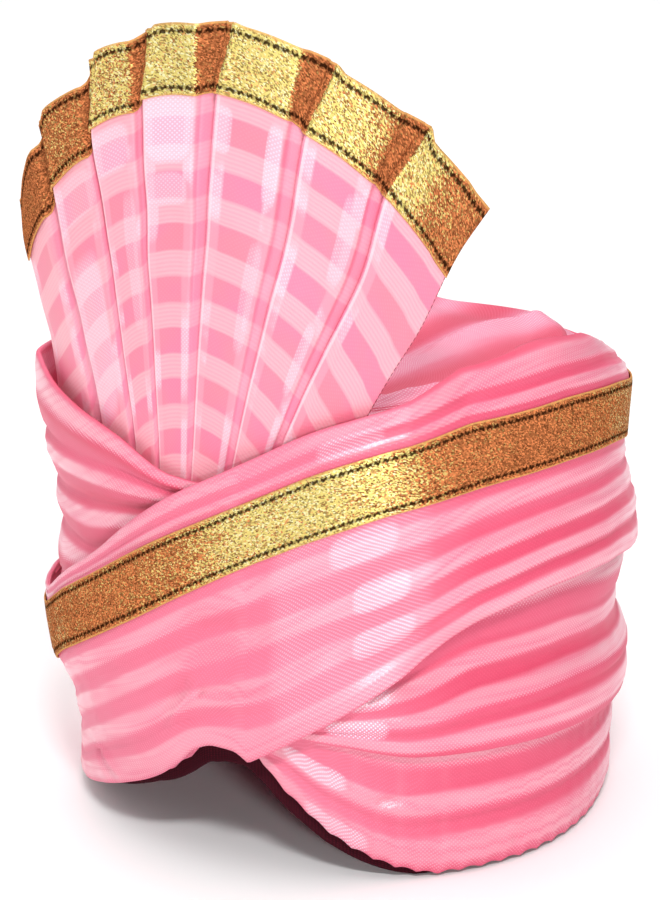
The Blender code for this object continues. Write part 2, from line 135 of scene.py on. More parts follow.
CREASE_FADES_OUT = (0.5, 1.1)
CREASE_WIDENS = (0.6, 0.8)
WRAPS_STAND_OFF = 10.0

# Cloth laid over cloth: the gap between, how high the hems start and where in a pleat, how far the middle
# of a pleat stands out, and how a wrap leans over the shoulder or runs out at the rim.
GAP = 0.6
HEM_LIFT = 0.6
HEM_TURN = 0.16
MEAN_STAND = 0.6
LEAN_HEIGHT = 17.0
EDGE_DROP_PER_DEGREE = 1.1
EDGE_DROP_REACH = 16.0

# The waves of the lower wrap's hem: their length, and how high they are.
SCALLOP_DEGREES = 4.6
LOWER_SCALLOP = 1.1

# The radius that random relief is measured on, the extra columns at a wrap's ends, and the number that its
# upper edge has among the folds that wander.
MEAN_RADIUS = 100.0
HEM_DEGREES = (0.08, 0.22, 0.42)
UPPER_EDGE = 29

# The fan: where it leaves the wraps, how far it stands off the cap there, how it opens outwards, how deep
# its lace is, and the relief of its pleats, which grows between these shares of the way up.
FAN_FOOT = 141.0
FAN_REF = 160.0
FAN_STAND_OFF = 3.6
FAN_OPEN = 0.07
FAN_OPEN_AT_SIDES = 0.17
FAN_OPENS_WITHIN = 1.6
FAN_MIDDLE = 5.0
FAN_BEND_HEIGHT = 154.0
FAN_BEND_SOFTNESS = 6.0
FAN_LACE_DEPTH = 23.5
FAN_RELIEF_FOOT = 0.9
FAN_RELIEF_TOP = 3.4
FAN_RELIEF_GROWS = (0.05, 0.9)

# The part of a panel that is turned back under the next one: how far below its edge ends, how many times as
# steeply it falls, and how far at most. It sinks between these multiples of the way to the next edge.
TUCKED_BELOW = 1.5
TUCKS_BETWEEN = (1.0, 1.3)
FOLD_STEEPER = 4.0
FALLS_AT_MOST = 6.0

# The folds roll back near the lace: by how many degrees, from how many times its depth below the edge, and
# over what share of a panel, which is wider on the first. Lower down they bow, up to these shares.
FOLD_ROLL = 1.9
FOLD_ROLL_DEPTH = 1.1
FOLD_ROLL_WIDE = 0.22
FIRST_FOLD_ROLL_WIDE = 0.66
FAN_BOW_ENDS = (0.55, 0.9)

# How far a panel's outer edge arches, and how the whole fan sways: how far, in waves of what lengths, and
# between which shares of the way up that begins. Then its rows, how near its ends it has an extra one, and
# into how many steps those of a section are divided.
FAN_TOP_ARCH = 1.0
FAN_SWAY = 0.5
FAN_SWAY_SEED = 53
FAN_SWAY_LENGTHS = (25.0, 80.0)
FAN_SWAY_BEGINS = (0.1, 0.6)
FAN_ROWS = 100
FAN_HEM_ROW = 0.0008
FAN_SECTION_STEPS = 2

# How far to the left, to the right and below its foot the fan holds off the wraps, and above what height no
# further out.
FAN_FOOT_MARGINS = (4.0, 10.0, 3.0)
FAN_COVERED_TO = 190.0

# How much of a panel of the fan shows, the rest being turned back under the next, and up to where the last
# panel follows the common section before its own end.
PANEL_SHOWS = 0.8
PANEL_UNDER = 0.2
LAST_PANEL_UNTIL = 0.7
LAST_PANEL_END = (
    # how far across the panel, how far forward
    (0.8, 0.8), (0.9, 0.72), (0.96, 0.66), (0.985, 0.62), (1, 0.6),
)

# Thickness of the fan's cloth and of the lace, how far the lace lies off the cloth, how far on the fan it
# passes the cloth's edge, how far its edges lie inside the folds beside it, its fine relief, and its rows.
FAN_CLOTH_THICK = 0.45
LACE_THICK = 0.6
LACE_LIFT = 0.4
FAN_LACE_LIFT = 0.3
FAN_LACE_PAST_EDGE = 1.006
LACE_MARGIN = 0.6
LACE_RELIEF_SEED = 41
LACE_RELIEF_HEIGHT = 0.06
LACE_RELIEF_LENGTHS = (8.0, 30.0)
LACE_HEM = np.array([0.0, 0.01, 0.025, 0.05])
LACE_ROWS = np.concatenate([LACE_HEM, np.arange(1, 10) / 10, 1.0 - LACE_HEM[::-1]])
FAN_LACE_ROWS = np.concatenate([[0.0, 0.01, 0.02], np.linspace(0.05, 0.95, 14), [0.98, 0.99, 1.0]])

# The edge of the rim, which arches up over the forehead.
RIM_ARCH = np.array([
    # bearing, height
    (-76, 0), (-60, 4), (-48, 9), (-40, 13.5), (-27, 22), (-16, 31), (-9, 40), (-4, 48), (0, 50.5),
    (4, 50), (7.5, 45.5), (13, 34.5), (18, 26), (23, 18), (32, 8), (38, 3.5), (45, 0),
])

# How far the cap's own edge reaches below the wraps around that arch, where its near-black colour stands for
# the shade under the arch.
CAP_EDGE_SHOWS = (
    # bearing, how far
    (-62, 0), (-40, 0.8), (-20, 2), (-8, 6), (-2, 9.5), (6, 9.5), (15, 7), (25, 4.4), (40, 1.8),
    (52, 0),
)

# Each wrap is a band of pleats. A row gives the heights, at one bearing, of its lower edge, of the folds
# between its pleats, and of its upper edge. None stands for the rim. Full is how far its pleats stand out.
LOWER_WRAP = (
    # bearing, full, lower edge, fold, fold, upper edge
    (-180, 1.0, None, 17, 34, 52),
    (-120, 1.0, None, 17, 34, 52),
    (-95, 0.2, None, 17, 34, 52),
    (-58, 0.2, None, 18, 34, 54),
    (-27, 0.2, None, 33, 44, 57),
    (0, 0.2, None, 54, 58, 63),
    (12, 0.6, None, 46, 55, 66),
    (23, 0.9, None, 32, 46, 65),
    (40, 1.0, None, 20, 36, 58),
    (55, 1.0, None, 21, 36, 56),
    (75, 1.0, None, 20, 35, 54),
    (112, 1.0, None, 18, 33, 49),
    (150, 1.0, None, 17, 34, 50),
)
MIDDLE_WRAP = (
    # bearing, full, lower edge, fold, fold, fold, upper edge
    (-180, 1.0, 42, 54, 66, 79, 91),
    (-120, 1.0, 43, 54, 66, 78, 89),
    (-95, 0.2, 44, 54, 65, 76, 86),
    (-60, 0.2, 46, 55, 65, 75, 84),
    (0, 0.2, 54, 59, 64, 69, 75),
    (16, 0.4, 56, 60, 64, 68, 75),
    (26, 0.7, 53.5, 59, 65, 72, 80),
    (40, 1.0, 48.5, 57, 67, 78, 92),
    (55, 1.0, 47, 59, 72, 86, 104),
    (75, 1.0, 44.5, 58, 71, 85, 107),
    (100, 1.0, 40, 53, 66, 79, 97),
    (112, 1.0, 38, 51, 64, 78, 94),
    (145, 1.0, 39, 52, 65, 78, 90),
)
LEFT_WRAP = (
    # bearing, full, lower edge, fold, fold, fold, fold, upper edge
    (-180, 1.0, 76, 92, 106, 121, 137, 151.5),
    (-120, 1.0, 70, 88, 103, 120, 139, 165),
    (-80, 1.0, 64, 85, 102, 119, 140, 170),
    (-58, 1.0, 62, 84, 104, 120.5, 141, 171),
    (-40, 1.0, 76, 91, 106, 125, 142, 164),
    (-22, 1.0, 96, 105, 117, 130, 144, 157.5),
    (-8, 1.0, 108, 116, 125, 134, 142, 148),
    (8, 0.4, 108, 116, 124, 132, 140, 147),
    (30, 0.2, 104, 113, 122, 131, 140, 150),
    (70, 0.2, 104, 114, 124, 134, 144, 154),
    (120, 0.2, 100, 111, 122, 132, 141, 149),
    (150, 0.3, 92, 105, 117, 129, 139.5, 148),
    (165, 0.6, 84, 98, 111, 124, 137, 151),
)
FRONT_WRAP = (
    # bearing, full, lower edge, three folds, lace's lower and upper edge, fold, upper edge
    (-110, 0.3, None, 12, 24, 36, 47, 67, 70, 74),
    (-80, 0.4, None, 13, 26, 38, 48.5, 70.5, 73, 76),
    (-58, 0.5, None, 14, 27, 40, 51, 74.5, 77, 80),
    (-40, 0.8, None, 27, 40, 54, 67.5, 92.5, 95.5, 99.5),
    (-20, 1.0, None, 44, 60, 75, 89, 115, 119, 125),
    (-5, 1.0, None, 60, 75, 91, 106, 131.5, 137, 145),
    (10, 1.0, None, 67, 85, 104, 121.5, 146.5, 152, 160),
    (23, 1.0, 64, 80, 97, 114, 132.5, 157.5, 163, 171.5),
    (37, 1.0, 80, 93, 107, 123, 140.5, 164.5, 170, 179),
    (53, 1.0, 96.5, 107, 118, 130, 144.5, 168.5, 175, 185),
    (70, 1.0, 101.5, 111, 121, 132, 144.5, 168.5, 176, 186),
    (90, 1.0, 99, 109, 119, 130, 141, 164.5, 172, 181),
    (112, 1.0, 91, 102, 113, 124, 132, 155.5, 161.5, 167.5),
    (145, 1.0, 84, 95, 106, 117, 125, 147, 149.5, 152.5),
    (187, 0.8, 82, 92, 103, 113, 121, 144, 146.5, 150),
)
# The front wrap's fold where the flat strip under its lace begins, and the bearings of the wrap's ends.
LACE_FOLD = 4
FRONT_ENDS = (-110.0, 187.0)

# The wraps' cloth, from the inside outwards.
WRAP_CLOTH = {
    # thickness, depth of a pleat, how much of the pleats' relief shows, seed of what varies
    "lower_wrap": (2.0, 2.6, 0.6, 3),
    "middle_wrap": (1.4, 2.6, 0.6, 5),
    "left_wrap": (1.8, 2.8, 0.85, 8),
    "front_wrap": (1.6, 2.5, 0.5, 11),
}
# Rows in a pleat, and in one of the lower wrap's.
PLEAT_POINTS = 10
LOWER_PLEAT_POINTS = 12

# The pieces, and how each lies.
PIECES = {
    # what it stands for, finish, flat width and length in metres, how it is held, what it rests on
    "crown_cap_cloth": ("crown_cap", "cap_cloth", (0.30, 0.40), "stretched", []),
    "lower_wrap_cloth": ("lower_wrap", "pink_net", (0.06, 0.62), "folded", ["crown_cap_cloth"]),
    "middle_wrap_cloth": ("middle_wrap", "pink_net", (0.06, 0.64), "folded", ["lower_wrap_cloth"]),
    "left_wrap_cloth": ("left_wrap", "pink_net", (0.09, 0.64), "folded", ["middle_wrap_cloth"]),
    "front_wrap_cloth": ("front_wrap", "pink_net", (0.10, 0.56), "folded", ["left_wrap_cloth"]),
    "lace_band_ribbon": ("lace_band", "gold_lace", (0.024, 0.56), "folded", ["front_wrap_cloth"]),
    "fan_cloth": ("fan", "pink_net", (0.23, 0.16), "folded", ["front_wrap_cloth", "left_wrap_cloth"]),
    "fan_lace_ribbon": ("fan_lace", "gold_lace", (0.024, 0.24), "folded", ["fan_cloth"]),
}

# What varies slowly around the turban, from pleat to pleat.
VARIES = {
    # factor of the seed, fewest and most waves, middle, how far either way
    "fold": (31, 2, 7, 0.0, 0.03),
    "upper edge": (31, 4, 12, 0.0, 0.2),
    "peak": (17, 2, 9, 0.9, 0.12),
    "height": (5, 3, 12, 0.9, 0.1),
    "crease": (7, 2, 7, 0.0, 1.0),
    "crease place": (13, 2, 8, 0.62, 0.12),
    "streak sway": (43, 1, 5, 0.0, 0.9),
    "streak height": (47, 2, 9, 0.6, 0.4),
}

# How far a wrap's upper edge leans in over the shoulder of the cap.
LEFT_LEAN = (
    # bearing, how far
    (-180, 12), (-120, 11), (-85, 8), (-66, 5), (-54, 0), (140, 0), (160, 8), (180, 12),
)
FRONT_LEAN = (
    # bearing, how far
    (-110, 0), (33, 0), (50, 8), (90, 14), (112, 15), (150, 13), (187, 11),
)

# Painted highlight on the lace: how much of its yellow shows over its copper where the light would catch
# it, along the band and on each of the fan's panels, where none does once the lace turns under into shade.
LACE_PAINTED_HIGHLIGHT = (
    # bearing, share
    (-110, 0.25), (-62, 0.20), (-22, 0.12), (-6, 0.30), (6, 0.90), (20, 1), (34, 0.80), (42, 0.22),
    (60, 0), (80, 0.08), (100, 0.30), (140, 0.45), (187, 0.30),
)
FAN_LACE_PAINTED_HIGHLIGHT = (
    # panel and share across it, share
    (0.9, 0), (1, 0.20), (1.9, 0.20), (2, 0.80), (2.9, 0.80), (3, 1), (4.9, 1), (5, 0.95),
    (5.5, 0.90), (5.75, 0.45), (6, 0.90), (6.3, 0.90), (6.5, 0.30), (7, 0.08),
)

LACE_TURNS_UNDER = (0.76, 0.82)

# The fan's panels. A row gives the bearing of the panel's fold at the reference height, how far the fold
# bows to the right on its way up, and the bearing and height of the two ends of its outer edge.
FAN_PANELS = (
    # bearing at foot, bow, left bearing, left height, right bearing, right height
    (-49.5, 0.0, -43.5, 232, -34.0, 254),
    (-29.0, 0.0, -31.6, 265, -20.4, 280),
    (-18.7, 0.0, -19.0, 290, -10.0, 298),
    (-12.2, 0.0, -7.6, 303, 2.4, 306),
    (-4.0, 0.4, 6.8, 307.5, 19.5, 300),
    (5.0, 1.6, 22.8, 295.5, 34.4, 280),
    (13.5, 3.0, 36.8, 275, 48.3, 246),
)
# The bearing at the foot and the bow of the last panel's free edge.
FAN_END_AT_FOOT = 26.3
FAN_END_BOW = 1.6

# A pleat of the fan in section, from its fold to the next one: how far across the panel, and how far the
# cloth stands forward of the fan's middle, from -1 to 1. It turns back under the next panel.
FAN_SECTION = (
    (0, 1), (0.012, 1.07), (0.035, 1.1), (0.07, 1), (0.14, 0.92), (0.28, 0.86), (0.44, 0.84),
    (0.58, 0.9), (0.68, 1), (0.745, 1.04), (0.785, 0.92), (0.808, 0.6), (0.822, 0.15),
    (0.838, -0.3), (0.865, -0.6), (0.91, -0.76), (0.96, -0.88), (1.02, -1), (1.09, -1.08),
    (1.14, -1.06), (1.15, -0.94), (1.12, -0.84), (1.06, -0.72), (1.01, -0.45), (0.985, 0),
    (0.978, 0.5), (0.984, 0.86),
)
# The same for the lace, which stays on the outer face.
LACE_SECTION = FAN_SECTION[:13] + (
    (0.838, -0.22), (0.865, -0.46), (0.905, -0.56), (0.94, -0.52), (0.958, -0.3), (0.966, 0.1),
    (0.968, 0.55), (0.978, 0.88),
)


def smoothstep(low, high, x):
    t = np.clip((np.asarray(x, float) - low) / (high - low), 0.0, 1.0)
    return t * t * (3.0 - 2.0 * t)


def through(knots, values, at):
    """A smooth curve through the knots, which never swings past its neighbours."""
    knots = np.asarray(knots, float)
    values = np.asarray(values, float)
    at = np.clip(np.asarray(at, float), knots[0], knots[-1])
    step = np.diff(knots)
    rise = np.diff(values) / step
    slope = np.zeros(len(knots))
    slope[0] = rise[0]
    slope[-1] = rise[-1]
    flat = rise[:-1] * rise[1:] <= 0.0
    weight_a = 2.0 * step[1:] + step[:-1]
    weight_b = step[1:] + 2.0 * step[:-1]
    with np.errstate(divide="ignore", invalid="ignore"):
        mean = (weight_a + weight_b) / (weight_a / rise[:-1] + weight_b / rise[1:])
    slope[1:-1] = np.where(flat, 0.0, mean)
    k = np.clip(np.searchsorted(knots, at, side="right") - 1, 0, len(step) - 1)
    t = (at - knots[k]) / step[k]
    held = values[k] * (1 + 2 * t) * (1 - t) ** 2 + values[k + 1] * t * t * (3 - 2 * t)
    turned = step[k] * (slope[k] * t * (1 - t) ** 2 - slope[k + 1] * t * t * (1 - t))
    return held + turned


def whole_turn(bearing):
    """The same bearing between -180 and 180."""
    return (np.asarray(bearing, float) + 180.0) % 360.0 - 180.0


def round_and_round(rows, column, bearing):
    """A table's column at any bearing, where the table goes all the way round."""
    first = [(row[0] + 360.0, row[column]) for row in rows[:2]]
    last = [(row[0] - 360.0, row[column]) for row in rows[-2:]]
    knots, values = zip(*(last + [(row[0], row[column]) for row in rows] + first))
    return through(knots, values, whole_turn(bearing))


def rim_height(bearing):
    return through(RIM_ARCH[:, 0], RIM_ARCH[:, 1], whole_turn(bearing))


def cap_edge(bearing):
    shows = np.interp(whole_turn(bearing), *zip(*CAP_EDGE_SHOWS))
    return np.maximum(rim_height(bearing) - shows, 0.0)


def half_width(height):
    return RIM_HALF_WIDTH + FLARE_PER_MM * np.asarray(height, float)


def puff(bearing, height):
    total = 0.0
    for middle, spread, amounts in PUFFS:
        side = np.exp(-((whole_turn(bearing) - middle) / spread) ** 2)
        total = total + side * through(PUFF_HEIGHTS, amounts, height)
    return total


def place(bearing, height, out):
    """Points in metres at a bearing and height, standing out from the cap's wall by so many millimetres."""
    turn = np.radians(bearing)
    half = half_width(height) + puff(bearing, height) + out
    x = half * np.sin(turn)
    y = -(half + EXTRA_HALF_LENGTH) * np.cos(turn)
    return np.stack(np.broadcast_arrays(x, y, height), axis=-1) * MM


def lean_in(amount, height, top):
    q = np.clip((height - (top - LEAN_HEIGHT)) / LEAN_HEIGHT, 0.0, 1.0)
    return amount * (1.0 - np.sqrt(1.0 - q * q))


def over_shoulder(clear, height, crown):
    rise = np.maximum(height - (crown - SHOULDER), 0.0)
    return np.sqrt(np.maximum((SHOULDER + clear) ** 2 - rise ** 2, 0.0)) - SHOULDER


def crown_height(bearing):
    return CROWN_HEIGHT + CROWN_TILT * np.cos(np.radians(bearing - CROWN_HIGH_BEARING))


def waves(seed, bearing, lowest, highest, count=6):
    """A smooth random curve around the turban, between about -1 and 1."""
    source = np.random.RandomState(seed)
    total = np.zeros_like(np.asarray(bearing, float))
    for _ in range(count):
        times = source.randint(lowest, highest + 1)
        total = total + np.sin(np.radians(bearing) * times + source.uniform(0, 2 * math.pi))
    return total / math.sqrt(count)


def ripples(seed, bearing, height, smallest, largest, count=14):
    """Smooth random relief, between about -1 and 1, with wavelengths in millimetres."""
    source = np.random.RandomState(seed)
    total = np.zeros(np.broadcast(bearing, height).shape)
    for _ in range(count):
        length = math.exp(source.uniform(math.log(smallest), math.log(largest)))
        heading = source.uniform(0, math.pi)
        times = max(1, round(2 * math.pi * MEAN_RADIUS / length * math.cos(heading)))
        along = np.radians(bearing) * times
        across = height * 2 * math.pi / length * math.sin(heading)
        total = total + np.sin(along + across + source.uniform(0, 2 * math.pi))
    return total / math.sqrt(count)


def creases(rows, bearing, height):
    """Relief of straight creases, in millimetres."""
    total = np.zeros(np.shape(bearing))
    per_degree = math.radians(RIM_HALF_WIDTH + WRAPS_STAND_OFF)
    for from_bearing, from_height, to_bearing, to_height, wide, out in rows:
        run = np.array([(to_bearing - from_bearing) * per_degree, to_height - from_height])
        length = math.hypot(*run)
        run = run / length
        x = (bearing - from_bearing) * per_degree
        y = height - from_height
        along = (x * run[0] + y * run[1]) / length
        off = x * run[1] - y * run[0]
        fade = smoothstep(*CREASE_FADES_IN, along) * (1.0 - smoothstep(*CREASE_FADES_OUT, along))
        widened = wide * (CREASE_WIDENS[0] + CREASE_WIDENS[1] * np.clip(along, 0.0, 1.0))
        total = total + out * fade * np.exp(-(off / widened) ** 2)
    return total


class Envelope:
    """How far the cloth laid so far stands out from the cap, on a grid of bearings and heights."""

    STEP_DEGREES = 2.5
    STEP_MM = 2.0
    TOP = 200.0
    REACH_DEGREES = 3
    REACH_MM = 4

    def __init__(self):
        self.bearings = np.arange(-180.0, 180.0, self.STEP_DEGREES)
        self.heights = np.arange(0.0, self.TOP, self.STEP_MM)
        self.grid_bearing, self.grid_height = np.meshgrid(self.bearings, self.heights)
        self.out = np.zeros_like(self.grid_bearing)

    def add(self, covered, out):
        self.out = np.where(covered, np.maximum(self.out, out), self.out)

    def draped(self):
        """What a new layer rests on: the highest point near each place, with soft steps between."""
        spread = self.out
        for how, less in ((np.max, 0), (np.mean, 1)):
            for axis, reach in ((1, self.REACH_DEGREES), (0, self.REACH_MM)):
                spread = self.near(spread, axis, reach - less, how)
        return spread

    def near(self, grid, axis, reach, how):
        """The highest or mean value within reach of each place. Bearings close round, heights end."""
        pad = [(0, 0), (0, 0)]
        pad[axis] = (reach, reach)
        padded = np.pad(grid, pad, mode="wrap" if axis else "edge")
        return how(np.lib.stride_tricks.sliding_window_view(padded, 2 * reach + 1, axis), axis=-1)

    def read(self, grid, bearing, height):
        x = (whole_turn(bearing) - self.bearings[0]) / self.STEP_DEGREES
        y = np.clip(height / self.STEP_MM, 0.0, len(self.heights) - 1.001)
        left = np.floor(x).astype(int)
        low = np.floor(y).astype(int)
        fx = x - left
        fy = y - low
        right = (left + 1) % len(self.bearings)
        left = left % len(self.bearings)
        near = grid[low, left] * (1 - fx) + grid[low, right] * fx
        far = grid[low + 1, left] * (1 - fx) + grid[low + 1, right] * fx
        return near * (1 - fy) + far * fy


@dataclasses.dataclass
class Wrap:
    """A band of pleated cloth around the turban, laid over what the envelope holds so far."""

    COVER_MARGIN = 3.0
    NEAR_EDGE = (0.0, 0.015, 0.04, 0.08)
    RIPPLE_HEIGHT = 0.12
    RIPPLE_LENGTHS = (10.0, 40.0)
    STREAK_HEIGHT = 0.16
    STREAKS_PER_PLEAT = (1.7, 2.6, 3.7)
    CREASE_DEPTH = 0.16
    CREASE_HALF_WIDTH = 0.07
    CREASE_SHOWS = (0.0, 0.8)
    RIDGE_SHARPNESS = 0.8
    FLAT_FROM_BELOW = (0.6, 1.0)
    FLAT_FROM_ABOVE = (0.4, 0.0)
    STREAKS_FROM_FLAT = (0.5, 0.7)
    FIRST_SHARE = 0.1
    LAST_SHARE = 0.9

    rows: tuple
    envelope: Envelope
    thick: float
    depth: float
    relief: float
    seed: int
    lean: tuple = None
    ends: tuple = None
    flat_fold: int = None
    creases: tuple = ()
    scallop: float = 0.0

    def __post_init__(self):
        self.ring = self.ends is None
        self.ends = self.ends or (-180.0, 180.0)
        self.base = self.envelope.draped() + GAP
        bearing = self.envelope.grid_bearing
        height = self.envelope.grid_height
        covered = (height > self.edge(0, bearing) - self.COVER_MARGIN) & self.spans(bearing)
        covered &= height < self.edge(-1, bearing) + self.COVER_MARGIN
        self.envelope.add(covered, self.base + self.thick + self.depth * self.column(1, bearing))

    def spans(self, bearing):
        start, end = self.ends
        return self.ring | ((bearing - start) % 360.0 <= end - start)

    def column(self, index, bearing):
        if self.ring:
            return round_and_round(self.rows, index, bearing)
        start = self.ends[0]
        unrolled = (np.asarray(bearing, float) - start) % 360.0 + start
        return through([row[0] for row in self.rows], [row[index] for row in self.rows], unrolled)

    def edge(self, index, bearing):
        """The height of one of the band's folds, counted from its lower edge."""
        column = index + 2 if index >= 0 else len(self.rows[0]) + index
        values = [row[column] for row in self.rows]
        if None not in values:
            return self.column(column, bearing)
        rim = rim_height(bearing) + HEM_LIFT
        known = [(row[0], row[column]) for row in self.rows if row[column] is not None]
        if not known:
            return rim
        own = through([row[0] for row in known], [row[1] for row in known], bearing)
        before = known[0][0] - np.asarray(bearing, float)
        run_down = own - np.maximum(before, 0.0) * EDGE_DROP_PER_DEGREE
        return np.where(before > EDGE_DROP_REACH, rim, np.maximum(rim, run_down))

    def varied(self, what, bearing, k=0):
        """A share or amount that varies slowly around the turban, for pleat or fold k."""
        factor, fewest, most, middle, reach = VARIES[what]
        return middle + reach * waves(self.seed * factor + k, bearing, fewest, most)

    def folds(self, bearing):
        """The heights of all the folds, which wander a little from where the table puts them."""
        heights = [self.edge(i, bearing) for i in range(len(self.rows[0]) - 2)]
        wandered = [heights[0] + self.scallop * np.abs(np.sin(np.pi * bearing / SCALLOP_DEGREES))]
        for k in range(1, len(heights) - 1):
            room = np.minimum(heights[k] - heights[k - 1], heights[k + 1] - heights[k])
            beside_flat = self.flat_fold is not None and k in (self.flat_fold, self.flat_fold + 1)
            wander = 0.0 if beside_flat else room * self.varied("fold", bearing, k)
            wandered.append(heights[k] + wander)
        wandered.append(heights[-1] + self.varied("upper edge", bearing, UPPER_EDGE))
        return wandered

    def section(self, k, t, bearing):
        """How far the pleat above fold k stands out, from 0 in its valleys to 1 on its ridge."""
        if k == self.flat_fold:
            return np.full_like(bearing, MEAN_STAND)
        ridge = np.sin(np.pi * t ** self.varied("peak", bearing, k)) ** self.RIDGE_SHARPNESS
        from_crease = (t - self.varied("crease place", bearing, k)) / self.CREASE_HALF_WIDTH
        shows = smoothstep(*self.CREASE_SHOWS, self.varied("crease", bearing, k))
        ridge = ridge - self.CREASE_DEPTH * (shows * np.exp(-from_crease ** 2))
        ridge = ridge * self.varied("height", bearing, k)
        if self.flat_fold is not None and k == self.flat_fold - 1:
            ridge = np.maximum(ridge, MEAN_STAND * smoothstep(*self.FLAT_FROM_BELOW, t))
        if self.flat_fold is not None and k == self.flat_fold + 1:
            ridge = np.maximum(ridge, MEAN_STAND * smoothstep(*self.FLAT_FROM_ABOVE, t))
        return ridge

    def out(self, bearing, height, stand):
        base = self.envelope.read(self.base, bearing, height)
        full = self.column(1, bearing)
        out = base + self.thick + self.depth * full * stand
        if self.lean is not None:
            amount = np.interp(whole_turn(bearing) if self.ring else bearing, *zip(*self.lean))
            least = over_shoulder(base + self.thick, height, crown_height(bearing))
            out = np.maximum(out - lean_in(amount, height, self.edge(-1, bearing)), least)
        return out

    def grid(self, bearings, steps):
        """Points, and each row's place in pleats, over the whole band."""
        folds = self.folds(bearings)
        heights = []
        stands = []
        turns = []
        last = len(folds) - 2
        for k in range(last + 1):
            shares = list(np.arange(steps) / steps)
            if k == 0:
                shares = list(self.NEAR_EDGE) + [s for s in shares if s > self.FIRST_SHARE]
            if k == last:
                shares = [s for s in shares if s < self.LAST_SHARE]
                shares += [1.0 - s for s in reversed(self.NEAR_EDGE)]
            for t in shares:
                heights.append(folds[k] + (folds[k + 1] - folds[k]) * t)
                stand = self.section(k, t, bearings)
                stands.append(MEAN_STAND + (stand - MEAN_STAND) * self.relief)
                turns.append(self.turn(k, t, last))
        heights = np.array(heights)
        turns = np.array(turns)
        wide = np.broadcast_to(bearings, heights.shape)
        outs = self.out(wide, heights, np.array(stands))
        outs = outs - self.RIPPLE_HEIGHT * (1.0 + ripples(self.seed, wide, heights, *self.RIPPLE_LENGTHS))
        outs = outs + self.STREAK_HEIGHT * self.streaks(turns[:, None], bearings)
        outs = outs + creases(self.creases, wide, heights)
        return place(wide, heights, outs), turns

    def turn(self, k, t, last):
        """The place in pleats, which stops short of a valley at the band's own edges."""
        if k == 0:
            t = HEM_TURN + (1.0 - HEM_TURN) * t
        if k == last:
            t = (1.0 - HEM_TURN) * t
        return k + t

    def streaks(self, turns, bearing):
        """Fine folds that run along the pleats."""
        total = 0.0
        for k, per_pleat in enumerate(self.STREAKS_PER_PLEAT):
            phase = 2 * math.pi * per_pleat * turns + self.varied("streak sway", bearing, k)
            total = total + self.varied("streak height", bearing, k) * np.sin(phase)
        if self.flat_fold is not None:
            from_flat = np.abs(turns - self.flat_fold - 0.5)
            total = total * smoothstep(*self.STREAKS_FROM_FLAT, from_flat)
        return total


def normals_of(points, ring):
    """Outward unit normals of a grid of points."""
    if ring:
        around = np.roll(points, -1, axis=1) - np.roll(points, 1, axis=1)
        around[:, 0] = points[:, 1] - points[:, -2]
        around[:, -1] = around[:, 0]
    else:
        around = np.gradient(points, axis=1)
    up = np.gradient(points, axis=0)
    normal = np.cross(around, up)
    length = np.linalg.norm(normal, axis=-1, keepdims=True)
    return normal / np.maximum(length, 1e-12)


def run_lengths(points, axis):
    steps = np.linalg.norm(np.diff(points, axis=axis), axis=-1)
    total = np.cumsum(steps, axis=axis)
    pad = [(0, 0), (0, 0)]
    pad[axis] = (1, 0)
    return np.pad(total, pad)


def cloth(
    name, points, thick, turns, finish, ring=False, round_top=True, across=None, measured_from_top=False,
    trim=None, trim_rows=0,
):
    """A piece of cloth with two faces and rounded edges.

    points is a grid of rows from the lower edge up and columns from left to right, whose last column meets
    the first in a ring. The UV map cloth holds metres along and across, and the map pleat holds metres
    along and the place in pleats.
    """
    rows, columns = points.shape[:2]
    normal = normals_of(points, ring)
    if not round_top:
        normal[-1] = (0.0, 0.0, 1.0)
    upward = run_lengths(points, 0)
    along = run_lengths(points, 1)
    nearest = upward.copy()
    if round_top:
        nearest = np.minimum(nearest, upward[-1] - upward)
    if not ring:
        nearest = np.minimum(nearest, np.minimum(along, along[:, -1:] - along))
    reach = np.clip(nearest / (thick * MM / 2), 0.0, 1.0)
    here = thick * MM * np.sqrt(1.0 - (1.0 - reach) ** 2)[..., None]
    outer = points - normal * (thick * MM - here) / 2
    inner = points - normal * (thick * MM + here) / 2
    vertices = np.concatenate([outer.reshape(-1, 3), inner.reshape(-1, 3)])

    index = np.arange(rows * columns).reshape(rows, columns)
    a, b = index[:-1, :-1], index[:-1, 1:]
    c, d = index[1:, 1:], index[1:, :-1]
    front = np.stack([a, b, c, d], axis=-1).reshape(-1, 4)
    faces = np.concatenate([front, front[:, ::-1] + rows * columns])

    mesh = bpy.data.meshes.new(name)
    mesh.from_pydata(vertices.tolist(), [], faces.tolist())
    middle = along[rows // 2]
    v_metres = upward[-1] - upward if measured_from_top else upward
    cloth_uv = np.stack([np.broadcast_to(middle, (rows, columns)), v_metres], axis=-1).reshape(-1, 2)
    first = middle if across is None else across
    second = turns if np.ndim(turns) == 2 else turns[:, None]
    pleat_uv = np.stack(np.broadcast_arrays(first, second), axis=-1).reshape(-1, 2)
    corners = np.empty(len(mesh.loops), np.int64)
    mesh.loops.foreach_get("vertex_index", corners)
    corners = corners % (rows * columns)
    for label, values in (("cloth", cloth_uv), ("pleat", pleat_uv)):
        layer = mesh.uv_layers.new(name=label)
        layer.data.foreach_set("uv", values[corners].astype(np.float32).reshape(-1))

    mesh.materials.append(finish)
    if trim is not None:
        mesh.materials.append(trim)
        row_of_face = np.arange(len(front)) // (columns - 1)
        mesh.polygons.foreach_set("material_index", np.tile(row_of_face < trim_rows, 2).astype(np.int32))

    made = add_object(name, mesh)
    weld(made)
    mesh.shade_smooth()
    node, slot, flat, held, rests_on = PIECES[name]
    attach(made, "root")
    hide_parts(node)


def add_object(name, data):
    made = bpy.data.objects.new(name, data)
    bpy.context.scene.collection.objects.link(made)
    return made


